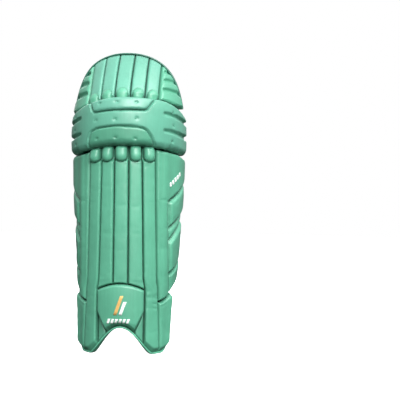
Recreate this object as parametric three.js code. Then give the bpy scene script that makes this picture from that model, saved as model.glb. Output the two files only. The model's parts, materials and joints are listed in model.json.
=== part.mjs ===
// Cricket leg pad, one pad, standing upright on its feet.
// Millimetres. +Z runs up the leg, the outside (shin side) faces -Y, the open back faces +Y.
import * as THREE from 'three';

// ---------------------------------------------------------------- driving dimensions
const CLEAR = 0.6;                 // gap left between two touching layers
const BOARD_T = 8;                 // thickness of the stiff backing board
const CANE_H = 14;                 // height of the shin canes over the board
const CANE_DIP_H = 5.2;            // cane height where a finger roll lies over it
const TOP_CANE_H = 13;             // height of the canes of the top hat
const ROLL_FRONT_H = 34;           // knee roll, outer face over the board at the front
const ROLL_SIDE_H = 17;            // knee roll, outer face over the board at the sides
const PANEL_H = 6;                 // raised knee panels over the roll
const WING_REAR = 100;             // wing rear edge, degrees round the section
const WING_SEAM_X = 92;            // wing hinge seam, distance from the centre plane
const FOOT_EDGE = 72;              // side edge of the foot, degrees round the section
const ARCH_H = 60;                 // height of the instep arch
const ARCH_HALF = 66;              // half width of the instep arch
const SHIN_TOP = 444;              // top of the shin section
const KNEE_BOTTOM = 450;           // bottom of the knee section
const KNEE_TOP = 548;              // top of the knee section
const HAT_BOTTOM = 552;            // bottom of the top hat
const HAT_PEAK = 654;              // rim level at the centre
const HAT_SPAN = 84;               // where the rim meets the knee section, degrees
const STRAP_T = 3;                 // strap thickness
const ORIGIN_Y = 42.73;            // moves the origin to the middle of the overall depth
const STRAP_SIDE = -1;             // side where the free strap ends close: -1 is -X
const STRAP_BULGE = 44;            // how far the straps bow out behind the wings
const STRAPS = [
  { name: 'knee', z: 398, half: 27 },
  { name: 'calf', z: 296, half: 24 },
  { name: 'ankle', z: 200, half: 20 },
];

// Reference surface (outer face of the board): level along the leg, half width,
// depth of the section, front line y and backward tilt of the section in degrees.
const SECTIONS = [
  [-40, 93, 80, -111, 0],
  [0, 95, 83, -110, 0],
  [70, 98, 89, -107, 0],
  [130, 101.5, 95, -106, 0],
  [250, 109, 104, -108, 0],
  [350, 115, 110, -111, 0],
  [432, 116.5, 112, -113, 0],
  [470, 116.5, 113, -117, 2.5],
  [510, 116, 114, -121, 5],
  [548, 115.5, 115, -121, 8],
  [572, 115, 115, -108, 9.5],
  [610, 114, 114, -77, 10],
  [656, 112, 112, -34, 10],
  [700, 111, 111, 6, 10],
];
// Long seams between the canes: half distances from the centre plane, top to bottom.
const CANE_LINES = [
  { level: 10, x: [15.5, 48.4, 75.5] },
  { level: 145, x: [15, 48.2, 72] },
  { level: 168, x: [15, 45, 70] },
  { level: 432, x: [14.4, 40.8, 66] },
];
const HAT_LINES = [15.7, 44.5, 70];

// ---------------------------------------------------------------- materials
const green = new THREE.MeshStandardMaterial({ color: 0x5fb089, roughness: 0.45 });
const mint = new THREE.MeshStandardMaterial({ color: 0x7cc8a6, roughness: 0.42 });
const deep = new THREE.MeshStandardMaterial({ color: 0x2f6b50, roughness: 0.6 });
const trim = new THREE.MeshStandardMaterial({ color: 0x8fd0b2, roughness: 0.45 });
const cloth = new THREE.MeshStandardMaterial({ color: 0xd9ddd8, roughness: 0.9 });
const board = new THREE.MeshStandardMaterial({ color: 0x3c7d60, roughness: 0.8 });
const fleece = new THREE.MeshStandardMaterial({ color: 0x202422, roughness: 0.95 });

const group = new THREE.Group();
group.name = 'cricket_leg_pad';

// ---------------------------------------------------------------- small helpers
const DEG = Math.PI / 180;
const lerp = (a, b, t) => a + (b - a) * t;
const clamp = (v, lo, hi) => Math.min(hi, Math.max(lo, v));

function table(rows, column, v) {
  for (let i = 1; i < rows.length; i += 1) {
    if (v <= rows[i][0] || i === rows.length - 1) {
      const t = clamp((v - rows[i - 1][0]) / (rows[i][0] - rows[i - 1][0]), 0, 1);
      return lerp(rows[i - 1][column], rows[i][column], t);
    }
  }
  return rows[0][column];
}

// The section values run smoothly through the table: mean over a short stretch.
function section(column, v) {
  let sum = 0;
  for (let k = -3; k <= 3; k += 1) sum += table(SECTIONS, column, v + 6 * k);
  return sum / 7;
}

const ease = (x, lo, hi) => {
  const k = clamp((x - lo) / (hi - lo), 0, 1);
  return k * k * (3 - 2 * k);
};

// How far the knee section and the foot of the top hat hang at their sides, most on the
// outer side of the leg; below the knee and at the rim the pad hangs straight.
function droop(t, v) {
  const low = -4 + 14 * ease(-t, 0, 60) + 10 * ease(t, 15, 80);
  const high = 6.5 + 20 * ease(-t, -5, 62) + 7 * ease(t, 30, 90);
  const share = clamp((v - KNEE_BOTTOM) / (KNEE_TOP - KNEE_BOTTOM), 0, 1);
  return lerp(low, high, share) * ease(v, 400, KNEE_BOTTOM + 1) * (1 - ease(v, HAT_BOTTOM, 640));
}

// Point of the pad: t degrees round the section (0 at the front), level v, offset h.
function surface(t, v, h) {
  const a = section(1, v);
  const b = section(2, v);
  const y0 = section(3, v) + b + ORIGIN_Y;
  const tilt = section(4, v) * DEG;
  const s = Math.sin(t * DEG);
  const c = Math.cos(t * DEG);
  let nx = s / a;
  let ny = -c / b;
  const n = Math.hypot(nx, ny);
  nx /= n;
  ny /= n;
  const q = -b * c + h * ny;
  return [a * s + h * nx, y0 + q * Math.cos(tilt), v - droop(t, v) - q * Math.sin(tilt)];
}

// Angle round the section of a line that keeps the distance x from the centre plane.
function angleAt(x, v) {
  return Math.asin(clamp(x / section(1, v), -1, 1)) / DEG;
}

function caneLine(index, v) {
  const side = index < 3 ? -1 : 1;
  const k = index < 3 ? 2 - index : index - 3;
  const rows = CANE_LINES.map((row) => [row.level, row.x[k]]);
  return side * table(rows, 1, v);
}

// Lower edge of the pad: instep arch in the middle, level feet, rounded outer corners.
function footEdge(t) {
  const x = Math.abs(section(1, 20) * Math.sin(t * DEG));
  const arch = x < ARCH_HALF ? ARCH_H * Math.cos((Math.PI / 2) * (x / ARCH_HALF)) ** 1.25 : 0;
  const corner = Math.max(0, Math.abs(t) - 58) / (FOOT_EDGE - 58);
  return arch + 14 * corner ** 2.2;
}

// Upper edge of the pad: the rim of the top hat.
function rim(t) {
  const k = Math.min(1, Math.abs(t) / HAT_SPAN);
  return 546 + (HAT_PEAK - 546) * (1 - k ** 2.3);
}

// Side edge of the shin board: the wing seam, wider below the ankle seam.
function shinEdge(v) {
  const seam = angleAt(WING_SEAM_X - 0.6, v);
  return lerp(FOOT_EDGE, seam, clamp((v - 121) / 9, 0, 1));
}

const steps = (n) => Array.from({ length: n + 1 }, (_, i) => i / n);

// A row is a fraction between the lower edge and a first level, or a level itself.
const rowLevel = (w, bottom, first) => (w <= 1 ? lerp(bottom, first, w) : w);
const SHIN_LEVELS = [145, 168, 250, 350, 414, 422];

// Closed body from two equal grids of points, an inner and an outer one.
function shell(name, outer, inner, material) {
  const n = outer.length;
  const m = outer[0].length;
  const points = [...outer.flat(), ...inner.flat()];
  const o = (i, j) => i * m + j;
  const k = (i, j) => n * m + i * m + j;
  const faces = [];
  const quad = (a, b, c, d) => faces.push([a, b, c], [a, c, d]);
  for (let i = 0; i < n - 1; i += 1) {
    for (let j = 0; j < m - 1; j += 1) {
      quad(o(i, j), o(i + 1, j), o(i + 1, j + 1), o(i, j + 1));
      quad(k(i, j), k(i, j + 1), k(i + 1, j + 1), k(i + 1, j));
    }
    quad(o(i, 0), k(i, 0), k(i + 1, 0), o(i + 1, 0));
    quad(o(i + 1, m - 1), k(i + 1, m - 1), k(i, m - 1), o(i, m - 1));
  }
  for (let j = 0; j < m - 1; j += 1) {
    quad(o(0, j + 1), k(0, j + 1), k(0, j), o(0, j));
    quad(o(n - 1, j), k(n - 1, j), k(n - 1, j + 1), o(n - 1, j + 1));
  }
  let volume = 0;
  for (const [a, b, c] of faces) {
    const p = points[a];
    const q = points[b];
    const r = points[c];
    volume += p[0] * (q[1] * r[2] - q[2] * r[1]);
    volume += p[1] * (q[2] * r[0] - q[0] * r[2]);
    volume += p[2] * (q[0] * r[1] - q[1] * r[0]);
  }
  const index = faces.map((f) => (volume < 0 ? [f[0], f[2], f[1]] : f)).flat();
  const geometry = new THREE.BufferGeometry();
  geometry.setAttribute('position', new THREE.Float32BufferAttribute(points.flat(), 3));
  geometry.setIndex(index);
  geometry.computeVertexNormals();
  const mesh = new THREE.Mesh(geometry, material);
  mesh.name = name;
  group.add(mesh);
  return mesh;
}

// Closed body on the reference surface. place(s, w) gives [t, v]; low and high give offsets.
function patch(name, s, w, place, low, high, material) {
  const outer = s.map((a) => w.map((b) => surface(...place(a, b), high(a, b))));
  const inner = s.map((a) => w.map((b) => surface(...place(a, b), low(a, b))));
  return shell(name, outer, inner, material);
}

// Cushion profile: full height in the middle, lower and rounded toward both ends.
function cushion(u, edge, width) {
  const d = Math.min(u, 1 - u) / width;
  if (d >= 1) return 1;
  return edge + (1 - edge) * Math.sqrt(1 - (1 - d) ** 2);
}
const ACROSS = [0, 0.15, 0.5, 0.85, 1];

// ---------------------------------------------------------------- shin section
patch('shin_board', steps(24), [0, 0.3, 0.65, 121, 130, ...SHIN_LEVELS, SHIN_TOP],
  (s, w) => {
    const bottom = footEdge(lerp(-1, 1, s) * FOOT_EDGE) + 4;
    const v = rowLevel(w, bottom, 121);
    return [lerp(-1, 1, s) * shinEdge(v), v];
  }, () => -BOARD_T, () => 0, board);

// Outline of the instep badge: arched top, upright sides, slanting to the arch.
const BADGE_HALF = 47;
const badgeTop = (x) => 157 - 14 * (x / BADGE_HALF) ** 2;

for (let i = 0; i < 5; i += 1) {
  const outerCane = i === 0 || i === 4;
  const rows = outerCane
    ? [0, 0.12, 0.5, 1, ...SHIN_LEVELS, SHIN_TOP + 1]
    : [0, 0.4, 1, ...SHIN_LEVELS.slice(2), SHIN_TOP + 1];
  const place = (s, w) => {
    const probe = lerp(caneLine(i, 150), caneLine(i + 1, 150), s);
    const low = lerp(caneLine(i, 20), caneLine(i + 1, 20), s);
    const bottom = outerCane ? footEdge(angleAt(low, 20)) + 4 : badgeTop(probe) + 1.5;
    const v = rowLevel(w, bottom, outerCane ? 110 : 168);
    const x = lerp(caneLine(i, v) + 0.6, caneLine(i + 1, v) - 0.6, s);
    return [angleAt(x, v), v];
  };
  const height = (s, w) => {
    const v = place(s, w)[1];
    const full = lerp(CANE_H, CANE_DIP_H, clamp((v - 415) / 7, 0, 1));
    const end = cushion(clamp(w / 2, 0, 0.5), 0.5, outerCane ? 0.08 : 0.4);
    return CLEAR + (full - CLEAR) * cushion(s, 0.6, 0.2) * end;
  };
  patch(`shin_cane_${i + 1}`, ACROSS, rows, place, () => CLEAR, height, i % 2 ? mint : green);
}

// Curved ankle seam: level of the lower end of the side rolls and wings.
const ankleSeam = (x) => lerp(115, 128, clamp((Math.abs(x) - 77) / 15, 0, 1) ** 1.6);

for (const side of [-1, 1]) {
  const tag = side < 0 ? 'left' : 'right';
  patch(`side_roll_${tag}`, ACROSS, [0, 0.4, 1, ...SHIN_LEVELS.slice(2), SHIN_TOP + 1],
    (s, w) => {
      const probe = lerp(77, WING_SEAM_X - 1, s);
      const v = rowLevel(w, ankleSeam(probe) + 1.2, 168);
      const x = lerp(Math.abs(caneLine(5, v)) + 0.6, WING_SEAM_X - 1, s);
      return [side * angleAt(x, v), v];
    },
    () => CLEAR,
    (s, w) => CLEAR + 13 * cushion(s, 0.55, 0.4) * cushion(clamp(w / 2, 0, 0.5), 0.5, 0.3),
    mint);
  patch(`ankle_panel_${tag}`, steps(5), [0, 0.06, 0.2, 0.6, 0.9, 1],
    (s, w) => {
      const probe = lerp(angleAt(Math.abs(caneLine(5, 6)), 6), FOOT_EDGE, s);
      const above = lerp(angleAt(Math.abs(caneLine(5, 118)), 118), FOOT_EDGE, s);
      const x = section(1, 120) * Math.sin(above * DEG);
      const top = ankleSeam(x) - 1.2 + 1.05 * Math.max(0, above - 68);
      const v = lerp(footEdge(probe) + 4.6, top, w);
      const from = angleAt(Math.abs(caneLine(5, v)) + 0.6, v);
      return [side * lerp(from, Math.min(FOOT_EDGE, shinEdge(v) + 4), s), v];
    },
    () => CLEAR,
    (s, w) => CLEAR + 11 * cushion(s, 0.5, 0.3) * cushion(w, 0.5, 0.12),
    green);
  patch(`instep_gusset_${tag}`, steps(3), steps(3),
    (s, w) => {
      const x = lerp(47.6, 31.5, w);
      const arch = footEdge(angleAt(x, 40)) + 4;
      const top = lerp(91.5, 53.5, (47.6 - x) / 16.1);
      const v = lerp(Math.min(arch, top - 1.5), top, s);
      return [side * angleAt(x - 0.2, v), v];
    },
    () => CLEAR,
    () => 5.5,
    deep);
}

patch('instep_badge', steps(8), [0, 0.1, 0.25, 0.42, 0.75, 0.92, 1],
  (s, w) => {
    const u = lerp(-1, 1, s);
    const top = badgeTop(u * BADGE_HALF);
    const bottom = footEdge(angleAt(u * 28, 55)) + 5;
    const v = lerp(bottom, top, w);
    const corner = 96;
    const narrow = clamp((corner - v) / (corner - 52), 0, 1);
    return [angleAt(u * lerp(BADGE_HALF, 29.5, narrow), v), v];
  },
  () => CLEAR,
  (s, w) => CLEAR + 16.5 * cushion(s, 0.6, 0.16) * cushion(w, 0.6, 0.14),
  mint);

// Bound lower edge: runs along both feet and over the arch.
patch('instep_binding', steps(48), [0, 1],
  (s, w) => {
    const t = lerp(-FOOT_EDGE, FOOT_EDGE, s);
    return [t, footEdge(t) + 3.4 * w];
  }, () => -BOARD_T - 2, () => 10, trim);

patch('shin_lining', steps(14), [0, 0.5, 1, 168, 250, 350, 440],
  (s, w) => {
    const t = lerp(-50, 50, s);
    return [t, rowLevel(w, footEdge(t) + 14, 121)];
  }, () => -BOARD_T - 5, () => -BOARD_T - CLEAR, cloth);

// ---------------------------------------------------------------- wings
const wingTop = (t) => 448 - 10 * clamp((t - 53) / 47, 0, 1);
const wingFoot = (t) => 130.5 + 1.3 * Math.max(0, t - 65);
const wingAngle = (s, v) => lerp(angleAt(WING_SEAM_X + 0.6, v), WING_REAR, s);
// Seams of the wing, level at the hinge seam and level at the rear edge.
const WING_SEAMS = [
  { name: 'upper', front: 338, rear: 389, height: 12.5 },
  { name: 'diamond', front: 276, rear: 324, height: 9.5 },
  { name: 'strip', front: 247, rear: 303, height: 7 },
  { name: 'lower', front: 172, rear: 208, height: 10 },
  { name: 'bottom', front: 129, rear: 174, height: 10 },
];

for (const side of [-1, 1]) {
  const tag = side < 0 ? 'left' : 'right';
  patch(`wing_board_${tag}`, steps(6), steps(6),
    (s, w) => {
      const probe = lerp(62, WING_REAR, s);
      const v = lerp(wingFoot(lerp(65, WING_REAR, s)), wingTop(probe), w);
      return [side * wingAngle(s, v), v];
    }, () => -BOARD_T, () => 0, board);
  let topOf = (s) => wingTop(lerp(53, WING_REAR, s));
  for (const seam of WING_SEAMS) {
    const last = seam.name === 'bottom';
    const upper = topOf;
    const lower = last
      ? (s) => wingFoot(lerp(65, WING_REAR, s)) + 0.2
      : (s) => lerp(seam.front, seam.rear, s);
    const rows = [0, 0.14, 0.5, 0.86, 1];
    patch(`wing_${seam.name}_${tag}`, steps(6), rows,
      (s, w) => {
        const v = lerp(lower(s) + 0.6, upper(s) - 0.6, w);
        return [side * wingAngle(s, v), v];
      },
      () => CLEAR,
      (s, w) => {
        const round = cushion(s, 0.6, 0.2) * cushion(w, 0.6, 0.14);
        return CLEAR + (seam.height - CLEAR) * round;
      },
      last || seam.name === 'strip' ? green : mint);
    topOf = lower;
  }
}

// ---------------------------------------------------------------- knee section
patch('knee_board', steps(26), [0, 0.25, 0.5, 0.75, 0.9, 1],
  (s, w) => [lerp(-97, 97, s), lerp(KNEE_BOTTOM, KNEE_TOP - 2, w)],
  () => -BOARD_T, () => 0, board);

const FINGER_ROWS = [425, 429, 436, 447, 452, 474, 498, 522, 536.4, 546, 551, 557, 568, 574, 577];
const FINGER_OUT = [
  [425, 13], [429, 20], [436, 23.5], [447, 21], [452, 16], [546, 16], [551, 16.5],
  [557, 19.5], [568, 18.5], [574, 15], [577, 11],
];
const FINGER_IN = [[447, 6.2], [452, CLEAR], [546, CLEAR], [551, 6.2]];
const levels = (v0, v1, rows) => rows.map((v) => (v - v0) / (v1 - v0));
for (let i = 0; i < 5; i += 1) {
  patch(`knee_finger_${i + 1}`, ACROSS, levels(425, 577, FINGER_ROWS),
    (s, w) => {
      const v = lerp(425, 577, w);
      const x = lerp(caneLine(i, 432) + 0.8, caneLine(i + 1, 432) - 0.8, s);
      return [angleAt(x, v), v];
    },
    (s, w) => table(FINGER_IN, 1, lerp(425, 577, w)),
    (s, w) => {
      const v = lerp(425, 577, w);
      const under = table(FINGER_IN, 1, v);
      return under + (table(FINGER_OUT, 1, v) - under) * cushion(s, 0.45, 0.35);
    },
    mint);
}

// Knee roll: a broad padded band, thick at the front, thinner round the sides.
const ROLL_LOW = 452;
const ROLL_HIGH = 550;
const rollInner = (t) => lerp(16.8, CLEAR, clamp((Math.abs(t) - 44) / 4, 0, 1));
function rollOuter(t, v) {
  const top = lerp(ROLL_FRONT_H, ROLL_SIDE_H, clamp((Math.abs(t) - 20) / 60, 0, 1));
  const under = lerp(16.8, CLEAR, clamp((Math.abs(t) - 30) / 30, 0, 1));
  const w = clamp((v - ROLL_LOW) / (ROLL_HIGH - ROLL_LOW), 0, 1);
  const end = cushion(clamp((97 - Math.abs(t)) / 97, 0, 0.5), 0.5, 0.06);
  const base = Math.max(under, rollInner(t));
  return base + (top - base) * cushion(w, 0.35, 0.16) * end;
}
patch('knee_roll', steps(30), [0, 0.04, 0.16, 0.4, 0.64, 0.84, 0.96, 1],
  (s, w) => [lerp(-97, 97, s), lerp(ROLL_LOW, ROLL_HIGH, w)],
  (s) => rollInner(lerp(-97, 97, s)),
  (s, w) => rollOuter(lerp(-97, 97, s), lerp(ROLL_LOW, ROLL_HIGH, w)),
  green);

function kneePanel(name, v0, v1, half0, half1) {
  const place = (s, w) => [lerp(-1, 1, s) * lerp(half0, half1, w), lerp(v0, v1, w)];
  patch(name, steps(9), [0, 0.1, 0.3, 0.7, 0.9, 1], place,
    (s, w) => rollOuter(...place(s, w)) + 1,
    (s, w) => rollOuter(...place(s, w)) + 2
      + (PANEL_H - 2) * cushion(s, 0.1, 0.08) * cushion(w, 0.1, 0.14),
    mint);
}
kneePanel('knee_lower_panel', 453, 490, 29.5, 24.5);
kneePanel('knee_upper_panel', 521, 549, 23, 29);

patch('knee_cup', steps(12), [0, 0.15, 0.5, 0.85, 1],
  (s, w) => [lerp(-48, 48, s), lerp(456, 534, w)],
  (s, w) => -BOARD_T - CLEAR - 9 * cushion(s, 0.4, 0.2) * cushion(w, 0.4, 0.2),
  () => -BOARD_T - CLEAR,
  cloth);

// ---------------------------------------------------------------- top hat
const HAT_EDGE = 77;
const hatBottom = (t) => HAT_BOTTOM + 6 * clamp((Math.abs(t) - 50) / 20, 0, 1);
const HAT_ROWS = steps(6);
patch('top_board', steps(24), HAT_ROWS,
  (s, w) => {
    const t = lerp(-HAT_EDGE, HAT_EDGE, s);
    return [t, lerp(hatBottom(t), rim(t) - 4.4, w)];
  }, () => -BOARD_T, () => 0, board);

for (let i = 0; i < 5; i += 1) {
  const lines = [-HAT_LINES[2], -HAT_LINES[1], -HAT_LINES[0], ...HAT_LINES];
  const place = (s, w) => {
    const x = lerp(lines[i] + 0.6, lines[i + 1] - 0.6, s);
    const end = rim(angleAt(x, 610)) - 4.6;
    const v = w > 1 ? w : lerp(584, end, w);
    return [angleAt(x, v), v];
  };
  patch(`top_cane_${i + 1}`, ACROSS, [HAT_BOTTOM, 560, 570, 578, 0, 0.4, 0.75, 0.92, 1],
    place, () => CLEAR,
    (s, w) => {
      const v = place(s, w)[1];
      const full = lerp(4.6, TOP_CANE_H, clamp((v - 578) / 5, 0, 1));
      const end = w > 1 ? 1 : cushion(clamp(w, 0.5, 1), 0.5, 0.25);
      return CLEAR + (full - CLEAR) * cushion(s, 0.6, 0.2) * end;
    },
    mint);
}

const RIB_GROOVES = [578, 597, 616];
for (const side of [-1, 1]) {
  const tag = side < 0 ? 'left' : 'right';
  const place = (s, w) => {
    const t0 = angleAt(HAT_LINES[2] + 0.6, 600);
    const t = lerp(t0, HAT_EDGE, s);
    const v = lerp(hatBottom(t) + 0.5, rim(t) - 4.6, w);
    const from = angleAt(HAT_LINES[2] + 0.6, v);
    return [side * lerp(from, HAT_EDGE, s), v];
  };
  patch(`top_side_${tag}`, steps(5), steps(12), place, () => CLEAR,
    (s, w) => {
      const v = place(s, w)[1];
      const near = Math.min(...RIB_GROOVES.map((level) => Math.abs(level - v)));
      const rib = lerp(0.62, 1, clamp(near / 6, 0, 1));
      return CLEAR + 14 * rib * cushion(s, 0.6, 0.2) * cushion(w, 0.6, 0.1);
    },
    green);
}

patch('top_binding', steps(36), [0, 1],
  (s, w) => {
    const t = lerp(-HAT_EDGE, HAT_EDGE, s);
    return [t, rim(t) - 3.4 + 3.4 * w];
  }, () => -BOARD_T - 1.5, () => 9, deep);

// ---------------------------------------------------------------- straps
const REAR = 105;                  // where the straps leave the wings, degrees
// Point of the strap bow behind the wings: phi 0 at the fixed end, 180 at the closing side.
function bow(phi, z, h) {
  const start = surface(-STRAP_SIDE * REAR, z, -BOARD_T - 1.3);
  const c = Math.cos(phi * DEG);
  const s = Math.sin(phi * DEG);
  return [(start[0] - STRAP_SIDE * h) * c, start[1] + (STRAP_BULGE + h) * s, z];
}
const FREE_END = 163;              // free end of the strap on the bow
for (const strap of STRAPS) {
  const z = (w) => lerp(strap.z - strap.half, strap.z + strap.half, w);
  const rows = [0, 1];
  patch(`strap_anchor_${strap.name}`, steps(6), rows,
    (s, w) => [-STRAP_SIDE * lerp(54, REAR - 0.8, s), z(w)],
    () => -BOARD_T - 1.3 - STRAP_T, () => -BOARD_T - 1.3, deep);
  // Landing: runs inside the wing of the closing side, then a free flap that the strap closes on.
  const inside = steps(6).map((s) => (h) => (w) => surface(STRAP_SIDE * lerp(54, REAR, s), z(w),
    -BOARD_T - 1.3 - STRAP_T + h));
  const flap = [170, 160, 148, 134, 120].map((phi) => (h) => (w) => bow(phi, z(w),
    h - STRAP_T));
  const path = [...inside, ...flap];
  shell(`strap_landing_${strap.name}`,
    path.map((p) => rows.map((w) => p(STRAP_T)(w))),
    path.map((p) => rows.map((w) => p(0)(w))), deep);
  const lift = (phi) => lerp(-STRAP_T, 2.2, clamp((phi - 20) / 60, 0, 1));
  const phis = [3, 12, 24, 36, 50, 64, 78, 92, 106, 120, 134, 148, FREE_END];
  shell(`strap_${strap.name}`,
    phis.map((phi) => rows.map((w) => bow(phi, z(w), lift(phi) + STRAP_T))),
    phis.map((phi) => rows.map((w) => bow(phi, z(w), lift(phi)))), deep);
  const patchPhis = [120, 134, 148, 161];
  shell(`hook_patch_${strap.name}`,
    patchPhis.map((phi) => [0.08, 0.92].map((w) => bow(phi, z(w), 1.6))),
    patchPhis.map((phi) => [0.08, 0.92].map((w) => bow(phi, z(w), 0.4))), fleece);
}

export default group;
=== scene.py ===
"""A cricket leg pad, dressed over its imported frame.

Metres, in the frame's own axes: +Z runs up the leg, the shin side faces -Y and the open
back +Y. Sizes along the pad's skin are kept in millimetres, with t the angle round the
section in degrees (0 at the front) and v the level along the leg.
"""

import json
import logging
from dataclasses import dataclass, field
from enum import Enum
from typing import Callable, Iterable, Sequence

import bpy
import numpy as np
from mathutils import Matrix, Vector
from mathutils.bvhtree import BVHTree

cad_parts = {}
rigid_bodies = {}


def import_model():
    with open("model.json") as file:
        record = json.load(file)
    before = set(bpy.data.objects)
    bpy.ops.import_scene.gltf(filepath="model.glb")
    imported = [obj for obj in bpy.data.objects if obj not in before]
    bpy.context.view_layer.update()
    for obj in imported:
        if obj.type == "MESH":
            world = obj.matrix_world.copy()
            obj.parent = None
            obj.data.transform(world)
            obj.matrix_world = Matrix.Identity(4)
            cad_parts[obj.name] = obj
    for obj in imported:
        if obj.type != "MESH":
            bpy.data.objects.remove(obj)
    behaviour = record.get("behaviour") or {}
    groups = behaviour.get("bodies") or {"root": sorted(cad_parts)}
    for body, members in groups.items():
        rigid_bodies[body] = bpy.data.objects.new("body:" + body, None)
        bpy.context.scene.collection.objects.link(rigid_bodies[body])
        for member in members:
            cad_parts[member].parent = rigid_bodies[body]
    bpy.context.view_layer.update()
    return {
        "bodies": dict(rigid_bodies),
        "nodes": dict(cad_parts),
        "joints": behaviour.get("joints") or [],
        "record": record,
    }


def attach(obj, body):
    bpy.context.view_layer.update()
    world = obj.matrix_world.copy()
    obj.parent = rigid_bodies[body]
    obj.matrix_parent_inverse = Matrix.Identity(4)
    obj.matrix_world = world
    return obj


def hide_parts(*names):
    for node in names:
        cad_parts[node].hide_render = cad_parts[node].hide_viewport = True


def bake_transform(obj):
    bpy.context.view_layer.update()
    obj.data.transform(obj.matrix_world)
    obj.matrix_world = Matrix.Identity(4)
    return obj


Array = np.ndarray
Place = Callable[[Array, Array], tuple[Array, Array]]
Field = Callable[[Array, Array], Array]
Colour = tuple[float, float, float]

LOG = logging.getLogger("leg_pad")
MM = 0.001             # metres in a millimetre
CLEAR = 0.6            # gap between a padded block and the board under it, mm
BOARD = 8.0            # thickness of the stiff boards, mm
KNEE_BOTTOM = 450.0    # lower level of the knee section, mm
KNEE_TOP = 548.0       # upper level of the knee section, mm
HAT_BOTTOM = 552.0     # lower level of the top hat, mm
DEGREE = 1.95          # length of one degree along the skin, mm
SUNK_STITCH = 0.2      # how far stitches stand off the face they are sewn in, mm
SEAM_DIP = 0.48        # share of a cane's height left at its seams
SMALLEST = 1e-9        # keeps a length from being divided by nothing


class Side(Enum):
    """A side of the pad, as the sign of its X."""

    LEFT = -1
    RIGHT = 1

    @property
    def tag(self) -> str:
        """Name ending of the side's pieces."""
        return self.name.lower()

    def hinge(self) -> tuple:
        """Blend of a piece that spans this side's wing seam: bodies, start and end."""
        return "shin", f"wing_{self.tag}", (self.value * 0.0925, -0.03, 0.3), (self.value * 0.106, -0.03,
            0.3)


class Edge(Enum):
    """How a panel's top turns down to its seam."""

    ROUND = "round"
    BEVEL = "bevel"


class Slot(str, Enum):
    """Material slots of the record."""

    COVER = "cover"
    TOP = "cover_top"
    SHADE = "cover_shade"
    BINDING = "edge_binding"
    RIM = "rim_binding"
    BACKING = "backing"
    LINING = "lining"
    WEBBING = "webbing"
    HOOK = "hook_tape"


# ------------------------------------------------------------------ small maths


def lerp(a: Array | float, b: Array | float, t: Array | float) -> Array | float:
    """Value between a and b at share t."""
    return a + (b - a) * t


def ramp(x: Array | float, low: float, high: float) -> Array | float:
    """Smooth step of x from 0 at low to 1 at high."""
    k = np.clip((x - low) / (high - low), 0.0, 1.0)
    return k * k * (3.0 - 2.0 * k)


def spread(count: int, ease: float = 0.55) -> Array:
    """Fractions from 0 to 1, closer together near both ends.

    Args:
        count: number of steps.
        ease: 0 for even steps, towards 1 for crowded ends.

    Returns:
        count + 1 fractions.
    """
    x = np.linspace(0.0, 1.0, count + 1)
    return x - ease * np.sin(2.0 * np.pi * x) / (2.0 * np.pi)


def const(value: float) -> Field:
    """Field with the same value everywhere."""
    return lambda t, v: np.full(np.shape(t), float(value))


def from_polygon(points: Array, loop: Array) -> Array:
    """Distance of points from a closed outline, negative inside.

    Args:
        points: (N, 2) points.
        loop: (M, 2) corners of the outline in order.

    Returns:
        N signed distances.
    """
    a, b = loop, np.roll(loop, -1, axis=0)
    near = to_segments(points, a, b)
    x, y = points[:, 0][:, None], points[:, 1][:, None]
    dy = np.where(b[:, 1] == a[:, 1], SMALLEST, b[:, 1] - a[:, 1])
    crosses = ((a[:, 1] > y) != (b[:, 1] > y)) & (x < (b[:, 0] - a[:, 0]) * (y - a[:, 1]) / dy + a[:, 0])
    return np.where(crosses.sum(axis=1) % 2 == 1, -near, near)


def to_segments(points: Array, a: Array, b: Array) -> Array:
    """Distance of each point from the nearest of the segments a-b.

    Args:
        points: (N, 2) points.
        a: (M, 2) starts of the segments.
        b: (M, 2) ends of the segments.

    Returns:
        N distances.
    """
    best = np.full(len(points), 1e9)
    along = b - a
    length2 = np.maximum((along**2).sum(axis=1), 1e-12)
    for start in range(0, len(points), 2000):
        p = points[start : start + 2000]
        rel = p[:, None, :] - a[None]
        k = np.clip((rel * along).sum(axis=2) / length2, 0.0, 1.0)
        gap = rel - k[..., None] * along
        best[start : start + 2000] = np.sqrt((gap**2).sum(axis=2)).min(axis=1)
    return best


def grid_quads(n: int, m: int, start: int = 0) -> Array:
    """Four-sided faces of an n by m grid of points numbered from start."""
    index = np.arange(n * m).reshape(n, m) + start
    return np.stack([index[:-1, :-1], index[1:, :-1], index[1:, 1:], index[:-1, 1:]], -1).reshape(-1, 4)


def open_edges(quads: Array) -> Array:
    """Directed edges that only one face has: the outline of a sheet of faces."""
    sides = np.stack([quads, np.roll(quads, -1, axis=1)], -1).reshape(-1, 2)
    seen = {(int(a), int(b)) for a, b in sides}
    return np.array([(a, b) for a, b in seen if (b, a) not in seen])


def close_up(quads: Array, rim: Array, n: int) -> Array:
    """Faces of a closed shell from its seen sheet.

    Args:
        quads: faces of the seen sheet.
        rim: its open edges.
        n: number of points in one sheet; the hidden sheet's follow in the same order.

    Returns:
        Seen, hidden and wall faces.
    """
    a, b = rim[:, 0], rim[:, 1]
    walls = np.stack([b, a, a + n, b + n], -1)
    return np.concatenate([quads, quads[:, ::-1] + n, walls])


def smooth_line(line: Array, times: int) -> Array:
    """The line with its corners eased, ends kept."""
    line = line.copy()
    for _ in range(times):
        line[1:-1] = (line[:-2] + 2 * line[1:-1] + line[2:]) / 4
    return line


# ------------------------------------------------------------------ the pad's skin


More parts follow.
